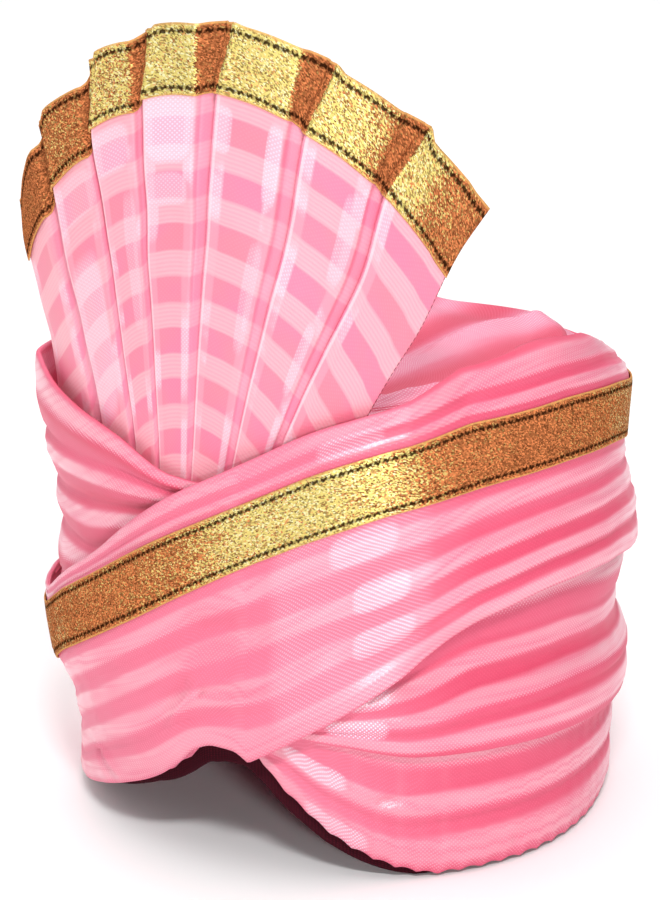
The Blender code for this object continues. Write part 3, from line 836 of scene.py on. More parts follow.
def weld(made):
    """Joins the two faces along their edges and removes what is left with no area."""
    surface = bmesh.new()
    surface.from_mesh(made.data)
    bmesh.ops.remove_doubles(surface, verts=surface.verts, dist=SAME_PLACE)
    bmesh.ops.dissolve_degenerate(surface, edges=surface.edges, dist=NO_LENGTH)
    surface.to_mesh(made.data)
    surface.free()


def bearings_of(start, end, ends=False):
    """Even bearings, with a few close together at each end where the cloth has a hem."""
    even = np.linspace(start, end, round((end - start) / STEP_DEGREES) + 1)
    if not ends:
        return even
    close = np.array(HEM_DEGREES)
    return np.concatenate([[start], start + close, even[2:-2], end - close[::-1], [end]])


# Materials


class Value:
    """What a node gives. Sums and products of values, and these methods, make the nodes for them."""

    def __init__(self, nodes, socket):
        self.nodes = nodes
        self.socket = socket

    def math(self, operation, *parts):
        return self.nodes.node("Math", dict(enumerate((self, *parts))), operation=operation)

    def __add__(self, other):
        return self.math("ADD", other)

    def __sub__(self, other):
        return self.math("SUBTRACT", other)

    def __rsub__(self, other):
        return self.nodes.node("Math", {0: other, 1: self}, operation="SUBTRACT")

    def __mul__(self, other):
        return self.math("MULTIPLY", other)

    __radd__ = __add__
    __rmul__ = __mul__

    def sine(self, period):
        """A wave between 0 and 1 with this period."""
        return (self * (2 * math.pi / period)).math("SINE") * 0.5 + 0.5

    def ramp(self, low, high, to_low=0.0, to_high=1.0):
        """A smooth change from to_low to to_high while this goes from low to high."""
        parts = (self, low, high, to_low, to_high)
        return self.nodes.node("MapRange", dict(enumerate(parts)), interpolation_type="SMOOTHSTEP")

    def between(self, rise, fall):
        """1 where this is past the range rise and has not reached the range fall, and 0 outside."""
        return self.ramp(*rise) * self.ramp(*fall, 1.0, 0.0)


class Nodes:
    """Short names for building a material's nodes."""

    def __init__(self, name):
        self.material = bpy.data.materials.new(name)
        self.material.use_nodes = True
        self.tree = self.material.node_tree
        self.shader = self.tree.nodes["Principled BSDF"]

    def link(self, value, socket):
        if isinstance(value, Value):
            self.tree.links.new(value.socket, socket)
        elif isinstance(value, (tuple, list)) and len(value) == 3 and len(socket.default_value) == 4:
            socket.default_value = (*value, 1.0)
        else:
            socket.default_value = value

    def shade(self, inputs):
        """Gives the shader its inputs, by name."""
        for name, value in inputs.items():
            self.link(value, self.shader.inputs[name])

    def node(self, kind, inputs, output=0, **settings):
        """Makes a node with these inputs and settings, and gives one of its outputs."""
        made = self.tree.nodes.new("ShaderNode" + kind)
        for name, value in settings.items():
            setattr(made, name, value)
        for name, value in inputs.items():
            self.link(value, made.inputs[name])
        return Value(self, made.outputs[output])

    def mix(self, share, first, second):
        return self.node("Mix", {"Factor": share, 6: first, 7: second}, 2, data_type="RGBA")

    def uv(self, layer):
        place = self.node("UVMap", {}, uv_map=layer)
        return [self.node("SeparateXYZ", {0: place}, axis) for axis in (0, 1)]

    def vector(self, x, y):
        return self.node("CombineXYZ", {0: x, 1: y})

    def noise(self, vector, scale, detail):
        return self.node("TexNoise", {"Vector": vector, "Scale": scale, "Detail": detail})

    def cells(self, vector, scale):
        """Small cells, with three random numbers between 0 and 1 for each."""
        cell = self.node("TexVoronoi", {"Vector": vector, "Scale": scale}, "Color")
        return [self.node("SeparateColor", {0: cell}, number) for number in (0, 1, 2)]

    def bump(self, height, distance, strength, **under):
        inputs = {"Height": height, "Distance": distance, "Strength": strength}
        return self.node("Bump", {**inputs, **under})


# Colours of the net, the cap, the fan and the lace.
PALE = (0.86, 0.345, 0.44)
MID = (0.76, 0.125, 0.225)
DEEP = (0.66, 0.035, 0.10)
MID_THREAD = (0.92, 0.24, 0.38)
# Painted highlight, for the glint patches.
GLINT = (0.87, 0.82, 0.96)
# Painted highlight on the ridges of the crown's folds.
CROWN_PAINTED_RIDGE_HIGHLIGHT = (0.84, 0.36, 0.52)
# Near-black painted shade on the cap's bound edge, and its threads.
EDGE_PAINTED_SHADE = (0.030, 0.003, 0.007)
EDGE_THREAD_PAINTED_SHADE = (0.075, 0.007, 0.015)
FAN_PALE = (0.86, 0.365, 0.43)
FAN_MID = (0.84, 0.28, 0.37)
FAN_DEEP = (0.82, 0.20, 0.28)
FAN_CLOUD = (0.86, 0.185, 0.31)
# Painted shade for the valley where a panel turns under the next.
FAN_PAINTED_VALLEY_SHADE = (0.88, 0.24, 0.38)
FAN_HEM = (0.30, 0.02, 0.05)
# The pale line along each fold: paler doubled cloth, partly painted highlight on the fold's edge.
PIPING_AND_PAINTED_HIGHLIGHT = (0.96, 0.60, 0.66)
COPPER = (0.46, 0.145, 0.05)
FAN_COPPER = (0.44, 0.14, 0.05)
DARKEST_COPPER = 0.38
LIGHTEST_COPPER = 1.62
YELLOW_GOLD = (0.78, 0.65, 0.20)
# Painted sparkle in the lace's highlight.
PAINTED_SPARKLE_GOLD = (0.88, 0.84, 0.48)
DARK_THREAD = (0.10, 0.03, 0.010)
STITCH = (0.020, 0.006, 0.002)
SELVEDGE = (0.72, 0.38, 0.13)
FLOOR = (0.96, 0.96, 0.96)
FLOOR_PALE = (0.99, 0.99, 0.99)

# Distances between threads and between stitches in metres, and grains in a metre.
NET_PITCH = 0.0015
BINDING_PITCH = 0.0009
LACE_PITCH = 0.0011
LACE_JAG = 0.0017
LACE_STITCH = 0.0031
FAN_HEM_STITCH = 0.0021
LACE_GRAINS = 1650.0
PIPING_GRAINS = 1500.0

# Relief of the threads: height in metres, and strength. Below them, where a dot of the net starts and ends.
NET_RELIEF = (0.00007, 0.9)
STREAK_RELIEF = (0.0001, 0.7)
BINDING_RELIEF = (0.0001, 0.6)
SATIN_RELIEF = (0.00005, 0.9)
METAL_RELIEF = (0.00006, 0.8)
NET_DOTS = (0.25, 0.75)

# How far the edges of the wraps' stripes wander, fray and blur, in shares of a pleat.
STRIPE_DRIFT = 0.12
STRIPE_FRAY = 0.05
STRIPE_SOFT = 0.09

# The wraps' stripes are measured in metres round a circle of this radius, and are calm from this bearing.
ROUND_RADIUS = 0.1
CALM_FROM = -100.0

CALM_FADES_IN = (-0.02, 0.02)
CALM_FADES_OUT = (-0.04, 0.03)
# Painted shade at the folds between a wrap's pleats: how far from a fold it reaches, in shares of a pleat.
PAINTED_VALLEY_SHADE_WIDE = (0.0, 0.16)

# Clouds and streaks in the colours: how many in a metre, or in a fold, along the cloth and across it.
WRAP_CLOUDS = (25.0, 70.0)
WRAP_STREAKS = (16.0, 420.0, 2.0)
STRIPE_CLOUDS = (9.0, 1.6, 2.0)
FADING_CLOUDS = (6.0, 1.3, 1.0)
CROWN_STREAKS = (14.0, 5.0)
FAN_CLOUDS = (45.0, 45.0)
LACE_CLOUDS = (60.0, 60.0)

# Painted highlight on the ridges of the crown's folds and painted shade in their valleys, as distances from
# a fold's ridge.
CROWN_PAINTED_HIGHLIGHT_WITHIN = (0.12, 0.34)
CROWN_PAINTED_SHADE_FROM = (0.2, 0.45)

# The fan's pale bands: from one to the next in metres, what part of one lies past the outer edge, and where
# in a period one begins and ends.
FAN_BAND_PERIOD = 0.0187
FAN_BAND_PHASE = 0.687
FAN_BAND = ((0.0, 0.06), (0.49, 0.55))

# Across a panel of the fan: its borders, its piping, which is partly painted highlight, the painted shade
# of the valley where it turns under, and how far before its end the last panel's hem lies.
LEFT_BORDER = (0.13, 0.17)
RIGHT_BORDER = ((0.63, 0.68), (0.79, 0.83))
PIPING_AND_HIGHLIGHT_WIDE = (0.028, 0.045)
FAN_PAINTED_VALLEY_SHADE_FROM = (0.80, 0.835)
FAN_HEM_WIDE = (0.022, 0.008)

# Across the lace, from its edge: the middle of the seam, the width of its stitches, and the selvedge.
SEAM_AT = 0.13
SEAM_WIDE = (0.014, 0.042)
SELVEDGE_WIDE = (0.015, 0.04)

# Painted glints: white-lavender highlight patches painted into the colour, round these middles.
FRONT_PAINTED_GLINTS = (
    # bearing, place in pleats, half width in degrees, half height in pleats, how strong
    (29.5, 3.60, 6.5, 0.34, 0.95),
    (32.9, 2.50, 5.5, 0.36, 0.95),
    (33.4, 1.40, 6.0, 0.38, 0.95),
    (27.0, 2.40, 15.0, 2.2, 0.30),
    (27.0, 5.90, 6.0, 0.50, 0.50),
)
MIDDLE_PAINTED_GLINTS = (
    # bearing, place in pleats, half width in degrees, half height in pleats, how strong
    (28.5, 1.30, 6.0, 0.45, 0.85),
    (31.0, 2.60, 4.0, 0.40, 0.50),
)
LOWER_PAINTED_GLINTS = (
    # bearing, place in pleats, half width in degrees, half height in pleats, how strong
    (20.0, 1.65, 6.5, 0.26, 0.85),
    (24.5, 0.40, 6.5, 0.24, 0.65),
)
FAN_PAINTED_GLINTS = (
    # panel and share across it, metres below the edge, half width, half height, how strong
    (1.35, 0.085, 0.36, 0.030, 0.60),
    (1.40, 0.034, 0.40, 0.008, 0.35),
    (2.30, 0.034, 0.40, 0.008, 0.55),
    (2.60, 0.075, 0.16, 0.024, 0.35),
    (3.40, 0.034, 0.40, 0.013, 0.85),
    (3.36, 0.056, 0.36, 0.006, 0.55),
    (3.08, 0.058, 0.12, 0.016, 0.45),
    (4.70, 0.042, 0.09, 0.014, 0.70),
    (4.08, 0.036, 0.12, 0.008, 0.55),
    (4.66, 0.090, 0.10, 0.020, 0.35),
    (5.66, 0.050, 0.10, 0.016, 0.45),
    (5.66, 0.095, 0.08, 0.014, 0.45),
)

WRAP_STRIPES = {
    # pale from and to in a pleat, contrast, calm up to this bearing, painted glints
    "lower_wrap": (0.3, 0.8, 0.55, 38.0, LOWER_PAINTED_GLINTS),
    "middle_wrap": (0.4, 0.85, 0.8, 36.0, MIDDLE_PAINTED_GLINTS),
    "left_wrap": (0.46, 0.80, 0.8, -200.0, ()),
    "front_wrap": (0.25, 0.75, 0.75, 36.0, FRONT_PAINTED_GLINTS),
}


def metres_round(bearing):
    return np.radians(bearing) * ROUND_RADIUS


def net_relief(u, v):
    """The open weave of the net: threads that cross on the diagonal."""
    return (u + v).sine(NET_PITCH) * (u - v).sine(NET_PITCH)


def clouds(nodes, u, v, around, up, detail=3.0):
    return nodes.noise(nodes.vector(u * around, v * up), 1.0, detail)


def clouds_round(nodes, along, turns, around, up, detail):
    """Clouds over a band that goes all the way round, with no seam where it closes."""
    turn = along * (1.0 / ROUND_RADIUS)
    east = turn.math("SINE") * (around * ROUND_RADIUS)
    north = turn.math("COSINE") * (around * ROUND_RADIUS)
    around_and_up = nodes.node("CombineXYZ", {0: east, 1: north, 2: turns * up})
    return nodes.noise(around_and_up, 1.0, detail)


def brushed(nodes):
    """Highlights that stretch across the threads, which run along the cloth."""
    tangent = nodes.node("Tangent", {}, direction_type="UV_MAP", uv_map="cloth")
    nodes.shade({"Tangent": tangent, "Anisotropic": 0.8, "Anisotropic Rotation": 0.25})


def finish_cloth(nodes, colour, roughness, normal):
    nodes.shade({
        "Base Color": colour,
        "Roughness": roughness,
        "Normal": normal,
        "Specular IOR Level": 0.7,
        "Coat Roughness": 0.32,
        "Coat IOR": 2.0,
        "Sheen Weight": 0.04,
        "Sheen Roughness": 0.4,
        "Sheen Tint": (1.0, 0.6, 0.75),
    })
    brushed(nodes)
    return nodes.material


def painted_glint_mask(across, up, rows):
    """Painted glints: how strongly a highlight is painted at each place, from rows of middle, half width and
    height, and strength.
    """
    total = 0.0
    for middle, middle_up, half_wide, half_high, strength in rows:
        x = ((across - middle) * (1.0 / half_wide)).math("ABSOLUTE")
        y = ((up - middle_up) * (1.0 / half_high)).math("ABSOLUTE")
        distance = x.math("POWER", 4.0) + y.math("POWER", 4.0)
        total = distance.ramp(1.4, 0.4, 0.0, strength).math("MAXIMUM", total)
    return total


def wrap_material(name, pale_from, pale_to, contrast, calm_until, painted_glints):
    """Net with satin stripes that run along the pleats, pale on the ridges and deep in the valleys, and
    painted shade deeper still at the folds between pleats.

    Up to the bearing calm_until the stripes differ only a little. contrast is how much they differ further
    on, from 0 to 1. The last argument lists the painted glints, white highlight patches painted into the
    colour: bearing, place in pleats, half width, half height, and strength.
    """
    nodes = Nodes(name)
    u, v = nodes.uv("cloth")
    along, turns = nodes.uv("pleat")
    net = net_relief(u, v)
    dots = net.ramp(*NET_DOTS)

    drift = (clouds_round(nodes, along, turns, *STRIPE_CLOUDS) - 0.5) * STRIPE_DRIFT
    place_in_pleat = (turns + drift + net * STRIPE_FRAY).math("FRACT")
    stripe = place_in_pleat.between(
        (pale_from - STRIPE_SOFT, pale_from + STRIPE_SOFT),
        (pale_to - STRIPE_SOFT, pale_to + STRIPE_SOFT),
    )
    # Painted shade: deeper colour at the folds between pleats.
    painted_valley_shade = turns.math("PINGPONG", 0.5).ramp(*PAINTED_VALLEY_SHADE_WIDE, 1.0, 0.0)
    streak = clouds(nodes, u + v * 0.35, v, *WRAP_STREAKS)
    cloudy = clouds(nodes, u, v, *WRAP_CLOUDS)
    pale = stripe * cloudy.ramp(0.3, 0.6, 0.7, 1.0) * streak.ramp(0.3, 0.6, 0.6, 1.0)
    deep = (1.0 - stripe).math("MAXIMUM", painted_valley_shade * 0.7)

    calm_start = float(metres_round(CALM_FROM))
    calm_end = float(metres_round(calm_until))
    calm = along.between(
        [calm_start + metres for metres in CALM_FADES_IN], [calm_end + metres for metres in CALM_FADES_OUT],
    )
    fading = clouds_round(nodes, along, turns, *FADING_CLOUDS).ramp(0.35, 0.6, 0.5, 1.0)
    lively = fading * (contrast - calm * (0.8 * contrast))

    colour = nodes.mix(dots * 0.5, MID, MID_THREAD)
    colour = nodes.mix(deep * lively * 0.95, colour, DEEP)
    threads = pale * (dots + 1.0) * (0.25 * (1.0 + contrast))
    evened = (0.14 - threads * 0.60) * calm
    colour = nodes.mix(threads + evened, colour, PALE)
    # Painted glints: white highlight patches mixed into the colour.
    rows = [(metres_round(row[0]), row[1], metres_round(row[2]), row[3], row[4]) for row in painted_glints]
    painted_glint = painted_glint_mask(along, turns, rows) * (dots * 0.84 + 0.19)
    colour = nodes.mix(painted_glint, colour, GLINT)

    gloss = pale * (dots * 0.6 + 0.4)
    normal = nodes.bump(streak, *STREAK_RELIEF, Normal=nodes.bump(net, *NET_RELIEF))
    nodes.shade({"Coat Weight": gloss.ramp(0.12, 0.5), "Coat Normal": normal})
    return finish_cloth(nodes, colour, 0.60 - pale * 0.16, normal)


def cap_material():
    """Net like the wraps', with painted highlight as pale streaks on the ridges of the crown's folds and
    painted shade towards their valleys.
    """
    nodes = Nodes("cap_cloth")
    u, v = nodes.uv("cloth")
    round_crown, turns = nodes.uv("pleat")
    net = net_relief(u, v)
    dots = net.ramp(*NET_DOTS)
    fold = turns.math("PINGPONG", 0.5)
    streak = clouds(nodes, round_crown, turns, *CROWN_STREAKS)
    # Painted highlight near each fold's ridge and painted shade towards its valleys.
    pale = fold.ramp(*CROWN_PAINTED_HIGHLIGHT_WITHIN, 1.0, 0.0) * streak.ramp(0.30, 0.52)
    colour = nodes.mix(fold.ramp(*CROWN_PAINTED_SHADE_FROM), MID, DEEP)
    colour = nodes.mix(dots * 0.25, colour, MID_THREAD)
    colour = nodes.mix(pale * (dots * 0.5 + 0.4), colour, CROWN_PAINTED_RIDGE_HIGHLIGHT)
    nodes.shade({"Coat Weight": pale * dots})
    return finish_cloth(nodes, colour, 0.55, nodes.bump(net, *NET_RELIEF))


def painted_shade_edge_material():
    """The cap's bound edge, coloured near black as painted shade for the dark band under the arch."""
    nodes = Nodes("bound_edge_painted_shade")
    u, v = nodes.uv("cloth")
    weave = u.sine(BINDING_PITCH) * v.sine(BINDING_PITCH)
    nodes.shade({
        "Base Color": nodes.mix(weave, EDGE_PAINTED_SHADE, EDGE_THREAD_PAINTED_SHADE),
        "Normal": nodes.bump(weave, *BINDING_RELIEF),
        "Roughness": 0.95,
        "Specular IOR Level": 0.1,
    })
    return nodes.material


def fan_material():
    """Satin checks: bands along the fan's edge and narrow borders along its folds, with painted glints,
    painted highlight on the piping, and painted shade where each panel turns under.
    """
    nodes = Nodes("fan_net")
    u, v = nodes.uv("cloth")
    across, _ = nodes.uv("pleat")
    panels = float(len(FAN_PANELS))
    net = net_relief(u, v)
    dots = net.ramp(0.2, 0.7)
    thread = v.sine(NET_PITCH)
    cloudy = clouds(nodes, u, v, *FAN_CLOUDS)

    band = (FAN_BAND_PHASE - v * (1.0 / FAN_BAND_PERIOD)).math("FRACT")
    pale_band = band.between(*FAN_BAND)
    inside = across.math("FRACT")
    before_last = across.math("LESS_THAN", panels - 0.5)
    left = inside.ramp(*LEFT_BORDER, 1.0, 0.0)
    right = inside.between(*RIGHT_BORDER)
    border = left.math("MAXIMUM", right * before_last)

    colour = nodes.mix(cloudy.ramp(0.3, 0.7), FAN_DEEP, FAN_CLOUD)
    colour = nodes.mix(border * 0.75, colour, FAN_MID)
    colour = nodes.mix(pale_band * (thread * 0.3 + 0.7), colour, FAN_PALE)
    # Painted glints: white highlight patches at given places and along the borders.
    painted_glints = painted_glint_mask(across, v, FAN_PAINTED_GLINTS)
    painted_glint_patch = (cloudy.ramp(0.50, 0.62, 0.0, 0.6) * border).math("MAXIMUM", painted_glints)
    colour = nodes.mix(painted_glint_patch * (dots * 0.45 + 0.35), colour, GLINT)
    # Painted shade in the valley where the panel turns under the next.
    painted_valley_shade = inside.ramp(*FAN_PAINTED_VALLEY_SHADE_FROM) * before_last
    colour = nodes.mix(painted_valley_shade * 0.5, colour, FAN_PAINTED_VALLEY_SHADE)
    grain = nodes.noise(nodes.vector(u, v), PIPING_GRAINS, 1.0)
    # Pale line along the fold: paler doubled cloth, partly painted highlight.
    piping_and_highlight = inside.ramp(*PIPING_AND_HIGHLIGHT_WIDE, 1.0, 0.0) * (grain * 0.5 + 0.3)
    colour = nodes.mix(piping_and_highlight, colour, PIPING_AND_PAINTED_HIGHLIGHT)
    hem = across.ramp(*[panels - before for before in FAN_HEM_WIDE])
    stitch = v.sine(FAN_HEM_STITCH).ramp(0.1, 0.6)
    colour = nodes.mix(hem * stitch, colour, FAN_HEM)
    colour = nodes.mix(net * 0.12, colour, FAN_PALE)

    roughness = 0.5 - pale_band.math("MAXIMUM", border) * 0.1
    relief = net + thread * pale_band * 0.8
    return finish_cloth(nodes, colour, roughness, nodes.bump(relief, *SATIN_RELIEF))


def lace_material(name, copper):
    """Gold ribbon: yellow metal threads over copper ones, with a dark stitched line inside each edge. Where
    the painted highlight lies, more of the threads are yellow, a few sparkle light and fewer are dark.
    """
    nodes = Nodes(name)
    u, v = nodes.uv("cloth")
    painted_highlight, level = nodes.uv("pleat")
    grains = nodes.vector(u + v * 0.5, v * 1.25)
    first, second, third = nodes.cells(grains, LACE_GRAINS)
    broad = clouds(nodes, u, v, *LACE_CLOUDS)
    weave = (v + u * 0.55).sine(LACE_PITCH)

    # Yellow threads come from broad clouds and from the painted highlight, which also brings light sparkles
    # and fewer dark specks.
    yellow_and_painted_highlight = broad * 0.4 + painted_highlight * 0.95 - 0.28
    metal = (yellow_and_painted_highlight - first).ramp(-0.2, 0.2)
    darkest = [part * DARKEST_COPPER for part in copper]
    lightest = [part * LIGHTEST_COPPER for part in copper]
    gold = nodes.mix(metal, nodes.mix(third, darkest, lightest), YELLOW_GOLD)
    painted_sparkle = second.ramp(0.78, 0.85) * metal * painted_highlight
    gold = nodes.mix(painted_sparkle, gold, PAINTED_SPARKLE_GOLD)
    dark = second.ramp(0.42 - painted_highlight * 0.14, 0.16)
    gold = nodes.mix(dark * 0.65, gold, DARK_THREAD)

    from_edge = level.math("PINGPONG", 0.5)
    jag = u.sine(LACE_JAG) * 0.020 + first * 0.02
    seam = (from_edge + jag - SEAM_AT).math("ABSOLUTE")
    gaps = u.sine(LACE_STITCH).ramp(0.1, 0.35)
    stitch = seam.ramp(*SEAM_WIDE, 1.0, 0.0) * (gaps * 0.5 + 0.5)
    gold = nodes.mix(stitch * 0.95, gold, STITCH)
    rim = from_edge.ramp(*SELVEDGE_WIDE, 1.0, 0.0)
    gold = nodes.mix(rim * 0.7, gold, SELVEDGE)

    nodes.shade({
        "Base Color": gold,
        "Metallic": metal * (1.0 - stitch) * 0.7,
        "Roughness": 0.6 - metal * 0.15,
        "Specular IOR Level": 0.0,
        "Normal": nodes.bump(weave + first * 1.4 - stitch * 0.8, *METAL_RELIEF),
    })
    brushed(nodes)
    return nodes.material


def floor_material():
    nodes = Nodes("floor")
    x, y = nodes.uv("UVMap")
    mottle = nodes.noise(nodes.vector(x, y), 8.0, 3.0)
    nodes.shade({"Base Color": nodes.mix(mottle, FLOOR, FLOOR_PALE), "Roughness": 0.9})
    return nodes.material


# The camera and the lights. A light's azimuth goes round from the forehead.
CAMERA_AZIMUTH = math.radians(25.0)
CAMERA_ELEVATION = math.radians(19.0)
CAMERA_DISTANCE = 1.3
CAMERA_AIM_HEIGHT = 0.125
CAMERA_AIM_RIGHT = -0.006
CAMERA_LENS = 143.5
LIGHTS_AIM_HEIGHT = 0.12
WORLD_COLOUR = (1.0, 0.99, 0.99, 1.0)
WORLD_STRENGTH = 0.22
FLOOR_HALF = 3.0
LIGHTS = (
    # name, azimuth, elevation, distance, width, height, watts
    ("key", 28.0, 42.0, 1.6, 0.34, 0.14, 12.0),
    ("low_key", 36.0, 14.0, 1.6, 0.20, 0.10, 7.0),
    ("left_fill", -70.0, 30.0, 1.6, 1.2, 1.2, 7.0),
    ("right_fill", 110.0, 30.0, 1.6, 1.2, 1.2, 2.0),
    ("top", 25.0, 88.0, 2.5, 3.0, 3.0, 40.0),
    ("back", 200.0, 35.0, 1.8, 1.4, 1.4, 5.0),
    ("backdrop", 205.0, 44.0, 2.6, 3.0, 1.2, 13.0),
)


def round_and_up(azimuth, elevation, distance):
    """A place at a distance from the middle, azimuth round from the forehead and elevation above it."""
    level = math.cos(elevation) * distance
    return math.sin(azimuth) * level, -math.cos(azimuth) * level, math.sin(elevation) * distance


def make_camera():
    data = bpy.data.cameras.new("camera")
    data.lens = CAMERA_LENS
    camera = add_object("camera", data)
    x, y, z = round_and_up(CAMERA_AZIMUTH, CAMERA_ELEVATION, CAMERA_DISTANCE)
    camera.location = (
        x + math.cos(CAMERA_AZIMUTH) * CAMERA_AIM_RIGHT,
        y + math.sin(CAMERA_AZIMUTH) * CAMERA_AIM_RIGHT,
        z + CAMERA_AIM_HEIGHT,
    )
    camera.rotation_euler = (math.pi / 2 - CAMERA_ELEVATION, 0.0, CAMERA_AZIMUTH)
    bpy.context.scene.camera = camera


def make_lights():
    for name, azimuth, elevation, distance, width, height, watts in LIGHTS:
        data = bpy.data.lights.new(name, "AREA")
        data.energy = watts
        data.shape = "RECTANGLE"
        data.size = width
        data.size_y = height
        lamp = add_object(name, data)
        turn = math.radians(azimuth)
        rise = math.radians(elevation)
        lamp.location = round_and_up(turn, rise, distance)
        lamp.location.z += LIGHTS_AIM_HEIGHT
        lamp.rotation_euler = (math.pi / 2 - rise, 0.0, turn)
    world = bpy.data.worlds.new("studio")
    world.use_nodes = True
    background = world.node_tree.nodes["Background"]
    background.inputs["Color"].default_value = WORLD_COLOUR
    background.inputs["Strength"].default_value = WORLD_STRENGTH
    bpy.context.scene.world = world


def make_floor():
    mesh = bpy.data.meshes.new("floor")
    corners = [(FLOOR_HALF * x, FLOOR_HALF * y, 0.0) for x, y in ((-1, -1), (1, -1), (1, 1), (-1, 1))]
    mesh.from_pydata(corners, [], [(0, 1, 2, 3)])
    mesh.uv_layers.new(name="UVMap")
    mesh.materials.append(floor_material())
    add_object("floor", mesh)


# The pieces


def make_wrap(name, rows, envelope, steps=PLEAT_POINTS, **shape):
    wrap = Wrap(rows, envelope, *WRAP_CLOTH[name], **shape)
    bearings = bearings_of(*wrap.ends, ends=not wrap.ring)
    points, turns = wrap.grid(bearings, steps)
    if wrap.ring:
        points[:, -1] = points[:, 0]
    finish = wrap_material(name.replace("wrap", "net"), *WRAP_STRIPES[name])
    cloth(name + "_cloth", points, wrap.thick, turns, finish, ring=wrap.ring, across=metres_round(bearings))
    return wrap


def make_lace_band(wrap):
    bearings = bearings_of(*wrap.ends, ends=True)
    low = wrap.edge(LACE_FOLD, bearings) + LACE_MARGIN
    high = wrap.edge(LACE_FOLD + 1, bearings) - LACE_MARGIN
    heights = low + (high - low) * LACE_ROWS[:, None]
    wide = np.broadcast_to(bearings, heights.shape)
    outs = wrap.out(wide, heights, MEAN_STAND) + LACE_LIFT + LACE_THICK
    outs = outs + LACE_RELIEF_HEIGHT * ripples(LACE_RELIEF_SEED, wide, heights, *LACE_RELIEF_LENGTHS)
    finish = lace_material("lace_gold", COPPER)
    # Painted highlight: how much yellow shows at each bearing.
    painted_highlight = np.interp(bearings, *zip(*LACE_PAINTED_HIGHLIGHT))
    points = place(wide, heights, outs)
    cloth("lace_band_ribbon", points, LACE_THICK, LACE_ROWS, finish, across=painted_highlight)


def crown_folds(x, y):
    """The place in folds at a point of the crown: a fold's ridge is at each whole number."""
    turn = np.arctan2(x - CROWN_FOLDS_FROM[0], y - CROWN_FOLDS_FROM[1])
    sway = CROWN_SWAY * np.sin(turn * CROWN_SWAYS + CROWN_SWAY_START)
    wander = CROWN_WANDER * x * np.sin(CROWN_WANDERS * y)
    return (turn * CROWN_FOLDS + sway + wander) / (2 * math.pi)


def crown_rise(bearing, share):
    """How much higher the crown lies towards the back, at a share of the way out to its edge."""
    towards_back = 0.5 + 0.5 * np.cos(np.radians(bearing - CROWN_SWELL_BEARING))
    swell = CROWN_SWELL * np.sin(np.pi * share ** CROWN_SWELL_OUTWARD)
    at_rim = CROWN_EDGE_RISE * np.exp(-((share - CROWN_EDGE_RISE_AT) / CROWN_EDGE_RISE_WIDE) ** 2)
    return towards_back * (swell + at_rim)


def make_cap():
    """The cap: a wall with a bound edge, a round shoulder, and the crown drawn into folds."""
    bearings = bearings_of(-180.0, 180.0)
    wall = np.zeros_like(bearings)
    top = crown_height(bearings)
    rim = cap_edge(bearings)
    rows = [place(bearings, rim + up, wall) for up in BOUND_EDGE_ROWS]
    trim_rows = len(rows) - 1
    low = rim + BOUND_EDGE_ROWS[-1] + BOUND_EDGE_GAP
    rows += [place(bearings, low + (top - SHOULDER - low) * share, wall) for share in WALL_SHARES]
    for angle in np.radians(SHOULDER_DEGREES):
        height = top - SHOULDER + SHOULDER * math.sin(angle)
        rows.append(place(bearings, height, wall - SHOULDER * (1.0 - math.cos(angle))))
    shown = [wall] * len(rows)
    edge = place(bearings, top, wall - SHOULDER)
    for share in np.linspace(CROWN_OUTERMOST, 0.0, CROWN_ROWS):
        level = share * top + (1.0 - share) * CROWN_HEIGHT + CROWN_DOME * (1.0 - share * share)
        spot = edge * share
        turns = crown_folds(spot[:, 0], spot[:, 1])
        from_start = np.hypot(spot[:, 0] - CROWN_FOLDS_FROM[0], spot[:, 1] - CROWN_FOLDS_FROM[1])
        strength = smoothstep(*CROWN_FOLDS_END, share) * smoothstep(*CROWN_FOLDS_BEGIN, from_start)
        fold = (1.0 - 2.0 * np.abs(np.sin(np.pi * turns)) ** CROWN_FOLD_SHARPNESS) * strength
        spot[:, 2] = (level + crown_rise(bearings, share) + CROWN_FOLD_HEIGHT * fold) * MM
        rows.append(spot)
        shown.append(turns)
    points = np.array(rows)
    points[:, -1] = points[:, 0]
    cloth(
        "crown_cap_cloth", points, CAP_THICK, np.array(shown), cap_material(), ring=True, round_top=False,
        trim=painted_shade_edge_material(), trim_rows=trim_rows,
    )


def fan_half_width(bearing, height):
    from_middle = np.radians(FAN_OPENS_WITHIN * (bearing - FAN_MIDDLE))
    opening = FAN_OPEN + FAN_OPEN_AT_SIDES * (1.0 - np.cos(from_middle))
    bend = FAN_BEND_SOFTNESS * np.log1p(np.exp((height - FAN_BEND_HEIGHT) / FAN_BEND_SOFTNESS))
    return FAN_STAND_OFF + opening * bend


def under_next_panel(k, more):
    """Bearing and height at the outer edge where panel k of the fan turns back under the next one."""
    right, right_top = FAN_PANELS[k][4:]
    next_left, next_top, next_right, next_right_top = FAN_PANELS[k + 1][2:]
    bearing = right + (next_left - right) * more
    if more <= 1.0:
        return bearing, right_top + (next_top - right_top) * more
    fall = (next_right_top - next_top) / (next_right - next_left)
    behind = fall * (bearing - next_left) * (FOLD_STEEPER if fall < 0.0 else 1.0)
    return bearing, next_top + max(behind, -FALLS_AT_MOST) - TUCKED_BELOW * smoothstep(*TUCKS_BETWEEN, more)


